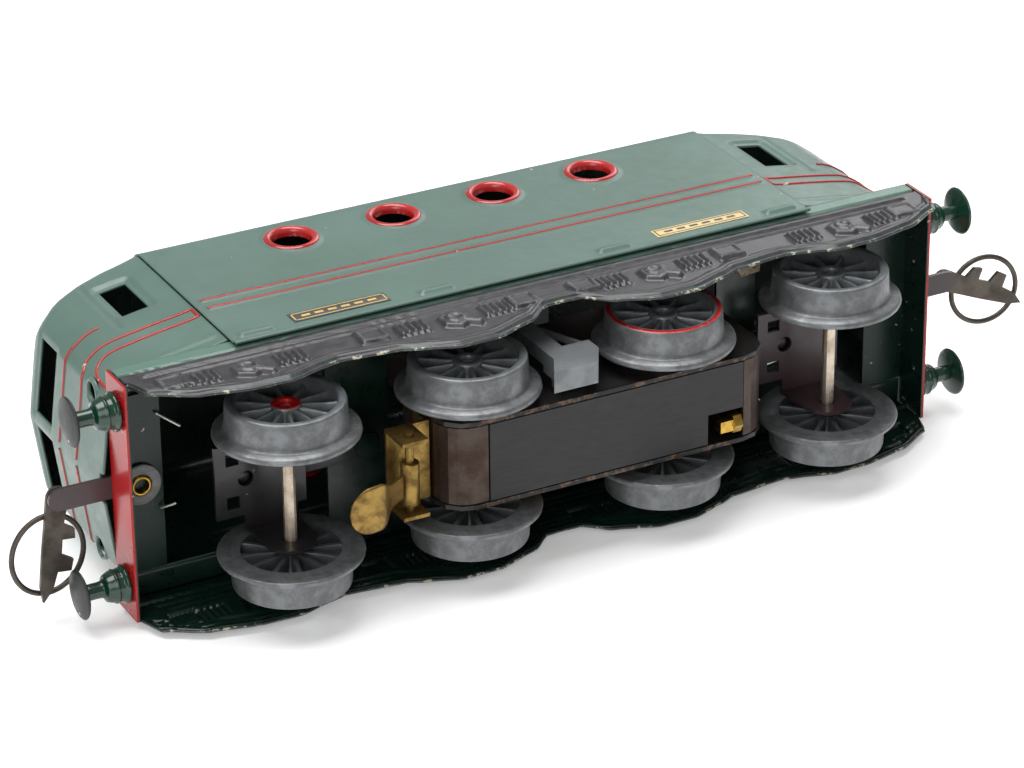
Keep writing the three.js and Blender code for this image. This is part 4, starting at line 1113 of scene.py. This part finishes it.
# %% [markdown]
# ## Couplings, collector and small parts
# The loop of each coupling is bent from wire. The collector shoe is a rounded brass paddle, dished
# by use. The fibre washer sits under a rolled brass eyelet. Two bright tabs show where the cab
# is clinched to the frame.

# %% Coupling loops and the eyelet
def loop_wire(end):
    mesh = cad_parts[end + "_loop"].data
    middle = sum((v.co for v in mesh.vertices), Vector()) / len(mesh.vertices)
    far = max(mesh.vertices, key=lambda v: ((v.co - middle).xy).length).co - middle
    long_way = Vector((far.x, far.y, 0)).normalized()
    cross_way = Vector((-long_way.y, long_way.x, 0))
    reach = max(abs((v.co - middle).dot(long_way)) for v in mesh.vertices) - 0.75 * MM
    wide = max(abs((v.co - middle).dot(cross_way)) for v in mesh.vertices) - 0.75 * MM
    path = []
    for i in range(16):
        a = 2 * math.pi * i / 16
        path.append(middle + long_way * reach * math.cos(a) + cross_way * wide * math.sin(a))
    wire = bent_wire(end + "_loop_wire", path, 0.6, browned_steel, closed=True)
    return seat(wire, end + "_coupling_loop", "bronze_steel", end + "_loop")


for end in ("front", "rear"):
    loop_wire(end)
low, high = low_high("front_washer")
spot = at((low[0] + high[0]) / 2, (low[1] + high[1]) / 2, high[2])
disc = [(1.6, 0), (4.4, 0), (4.6, -0.12), (4.6, -0.58), (4.4, -0.7), (1.6, -0.7), (1.6, 0)]
seat(turned("washer_disc", disc, spot, "z", washer_fibre, 64), "chassis", "fibre", "front_washer")
ring = [(1.5, 0), (1.5, -1.05), (1.7, -1.3), (2.05, -1.28), (2.35, -1.0), (2.4, -0.72), (1.5, -0.7)]
seat(turned("washer_eyelet", ring, spot, "z", bright_brass, 64), "chassis", "brass")
print("loops and eyelet made")

# %% Collector shoe
def paddle(name):
    low, high = low_high("collector_shoe")
    middle_y = (low[1] + high[1]) / 2
    half = (high[1] - low[1]) / 2
    tip_x, pin_x, pin_z = low[0] + 0.1, -40.2, 9.6
    spine = ((pin_x - 2.2, pin_z - 1.2), (pin_x - 6.5, pin_z - 4), (pin_x - 10, pin_z - 6.8),
             (tip_x, pin_z - 7.6))
    fine = smooth_run(spine, 10)
    points, faces = [], []
    steps = 16
    for x, z in fine:
        from_tip = x - tip_x
        disc = math.sqrt(max(0.0, 1 - ((half - from_tip) / half) ** 2)) * half if from_tip < half else half
        neck = half - (half - 2.6) * ease(x, tip_x + 1.4 * half, pin_x - 5.5)
        wide = min(disc, neck)
        for k in range(steps + 1):
            v = (k / steps * 2 - 1) * wide
            dish = -0.35 * (1 - (v / half) ** 2) * ease(from_tip, 0.2, 3) * (1 - ease(from_tip, 9, 11))
            points.append(at(x, middle_y + v, z + 0.2 + dish))
    count = steps + 1
    for i in range(len(fine) - 1):
        for k in range(steps):
            a = i * count + k
            faces.append((a, a + 1, a + count + 1, a + count))
    piece = mesh_piece(name, points, faces, [old_brass])
    sheet = piece.modifiers.new("sheet", "SOLIDIFY")
    sheet.thickness = 0.5 * MM
    sheet.offset = 0
    piece = outward(apply_modifiers(piece))
    start, stop = low[1] + 0.4, high[1] - 0.4
    hub = [(0.0, start), (1.9, start), (2.0, start + 0.2), (2.0, stop - 0.2), (1.9, stop), (0.0, stop)]
    seat(turned("shoe_hub", hub, at(pin_x, 0, pin_z), "y", old_brass, 32), "shoe", "brass")
    return seat(piece, "shoe", "brass", "collector_shoe")


paddle("shoe_paddle")
print("collector shoe made")

# %% Truck links
LINK_Z = 27.4


def truck_link(end):
    low, high = low_high(end + "_truck_link")
    half = (high[1] - low[1]) / 2
    near, far = low[0] + half, high[0] - half
    turn = [math.pi * i / 12 for i in range(13)]
    outline = [(near - half * math.sin(a), half * math.cos(a)) for a in turn]
    outline += [(far + half * math.sin(a), -half * math.cos(a)) for a in turn]
    arm = cut_out(end + "_link_arm", outline, LINK_Z - 0.4, LINK_Z + 0.4, "z", truck_black, 0.12)
    seat(arm, end + "_link", "bronze_steel", end + "_truck_link")
    pin_x = near if end == "front" else far
    head = [(0, -1.4), (1.2, -1.4), (1.45, -1.15), (1.45, 0.0), (0, 0.0)]
    pin = turned(end + "_link_pin", head, at(pin_x, 0, LINK_Z - 0.4), "z", truck_black, 32)
    seat(pin, end + "_link", "bronze_steel")
    return low, high


for end in ("front", "rear"):
    print(end, "link spans", [[round(v, 1) for v in corner] for corner in truck_link(end)])

# %% Clinched tabs
def tab(name, start, end_point, width):
    path = [start, start.lerp(end_point, 0.4) + Vector((0, 0, -0.2)) * MM, end_point]
    return seat(bent_wire(name, path, width, tin_bright), "chassis", "nickel_steel")


tab("clinch_tab_1", at(-86.5, -15.5, 32.6), at(-82.2, -12.5, 30.4), 0.3)
tab("clinch_tab_2", at(-86.5, 6.5, 32.6), at(-83.8, 5.2, 30.8), 0.3)
print("tabs made")

# %% [markdown]
# ## Finishes of the pieces that the frame already shapes well
# Axles, motor plates, spacers, gears, trucks and the pantographs have the right shape in the frame,
# so each one only gets its finish. The rear truck has a plum-brown web, and the rest are black.

# %% Painting the frame's own solids
PAINT = {
    "axle_steel": (axle_steel, ("_axle", "_panto_lower", "_panto_upper")),
    "motor_black": (motor_black, ("motor_left_plate", "motor_right_plate")),
    "spacer_brown": (spacer_brown, ("_spacer",)),
    "cover_fibre": (cover_fibre, ("bottom_cover",)),
    "copper": (winding_copper, ("field_coil", "armature")),
    "brass": (bright_brass, ("brush_holder", "_idler", "_axle_gear")),
    "old_brass": (old_brass, ("collector_bracket",)),
    "casting": (cast_zinc, ("side_casting",)),
    "laminations": (spacer_brown, ("field_magnet",)),
    "trucks": (truck_black, ("front_truck_frame", "_truck_link")),
    "rear truck": (web_plum, ("rear_truck_frame",)),
    "bridges": (inside_enamel, ("_bridge",)),
    "drawbars": (web_plum, ("_drawbar",)),
    "couplings": (browned_steel, ("_hook", "_loop")),
    "cork": (cut_cork, ("cork_pad",)),
    "red": (stock_red, ("_panto_base",))}
painted = 0
for name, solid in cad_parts.items():
    if name.endswith("_headstock"):
        continue
    finish = next((f for f, ends in PAINT.values() if name.endswith(ends)), green_enamel)
    solid.data.materials.clear()
    solid.data.materials.append(finish)
    painted += 1
print("solids painted:", painted)

# %% [markdown]
# ## Camera, floor and light
# The loco lies on its right side, so what it lies on is upright in its own frame: a sheet
# beside it, facing it. Seen from behind, the sheet lets the view through. The light is one broad
# soft lamp from above, one from the front and a pale world.

# %% Camera
camera_data = bpy.data.cameras.new("camera")
camera_data.lens = 144.6
camera_data.clip_start, camera_data.clip_end = 0.01, 20
camera = bpy.data.objects.new("camera", camera_data)
bpy.context.scene.collection.objects.link(camera)
bpy.context.scene.camera = camera
right, up = Vector((0.8835, 0.0093, -0.4682)), Vector((0.217, -0.8942, 0.3916))
back = Vector((-0.415, -0.4476, -0.7921))
turn = Matrix((right, up, back)).transposed()
camera.matrix_world = Matrix.Translation(at(-370.3, -397.1, -666.3)) @ turn.to_4x4()
print("camera", [round(v, 3) for v in camera.location], "lens", camera_data.lens)

# %% Floor
FLOOR_LIFT = 0.24


def floor_sheet():
    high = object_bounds()[1]
    y = high[1] + 0.4 * MM
    size = 6.0
    points = [(-size, y, -size), (size, y, -size), (size, y, size), (-size, y, size)]
    web = Web("floor_paper")
    grain = web.cloud(20, 3)
    colour = web.mix(grain, (0.9, 0.9, 0.9), (0.93, 0.93, 0.93))
    web.finish(colour, 0.9, bump=grain, depth=0.02, strength=0.1, specular=0.0)
    rays = web.add("ShaderNodeLightPath", {}, {}, "Is Camera Ray")
    glossy = Value(web, rays.socket.node.outputs["Is Glossy Ray"])
    lift = (rays + glossy).clipped() * FLOOR_LIFT
    glow = web.add("ShaderNodeEmission", {}, {"Color": (1, 1, 1), "Strength": lift})
    both = web.add("ShaderNodeAddShader", {}, {0: Value(web, web.shader.outputs[0]), 1: glow})
    behind = web.add("ShaderNodeNewGeometry", {}, {}, "Backfacing")
    shadow = Value(web, rays.socket.node.outputs["Is Shadow Ray"])
    clear = web.add("ShaderNodeBsdfTransparent", {}, {})
    mixed = web.add("ShaderNodeMixShader", {}, {0: behind.math("MAXIMUM", shadow), 1: both, 2: clear})
    web.tree.links.new(mixed.socket, web.output.inputs["Surface"])
    sheet = mesh_piece("floor", points, [(0, 1, 2, 3)], [web.material], smooth=False)
    sheet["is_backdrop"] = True
    return sheet


floor = floor_sheet()
print("floor at y =", round(floor.data.vertices[0].co.y, 4), "normal", tuple(floor.data.polygons[0].normal))

# %% Lamps and world
def lamp(name, place, aim, size, watts):
    data = bpy.data.lights.new(name, "AREA")
    data.shape, data.size, data.size_y, data.energy = "RECTANGLE", size[0], size[1], watts
    light = bpy.data.objects.new(name, data)
    bpy.context.scene.collection.objects.link(light)
    light.location = place
    light.rotation_euler = (Vector(aim) - Vector(place)).to_track_quat("-Z", "Y").to_euler()
    return light


lamp("softbox_above", (-0.15, -1.3, 0.15), (0, 0, 0.03), (1.3, 0.9), 22)
lamp("softbox_front", (-0.9, -0.7, -0.9), (0, 0, 0.03), (0.9, 0.9), 6)
lamp("softbox_far", (0.9, -0.7, 0.8), (0, 0, 0.03), (0.8, 0.8), 4)
lamp("softbox_behind", (-0.1, 1.2, 0.5), (0, 0, 0.03), (1.2, 0.9), 14)
world = bpy.data.worlds.new("studio")
bpy.context.scene.world = world
world.use_nodes = True
tree = world.node_tree
path = tree.nodes.new("ShaderNodeLightPath")
level = tree.nodes.new("ShaderNodeMath")
level.operation = "MAXIMUM"
tree.links.new(path.outputs["Is Camera Ray"], level.inputs[0])
level.inputs[1].default_value = 0.34
tree.nodes["Background"].inputs["Color"].default_value = (1, 1, 1, 1)
tree.links.new(level.outputs[0], tree.nodes["Background"].inputs["Strength"])
bpy.context.scene.view_settings.view_transform = "Standard"
print("lamps:", len(bpy.data.lights))
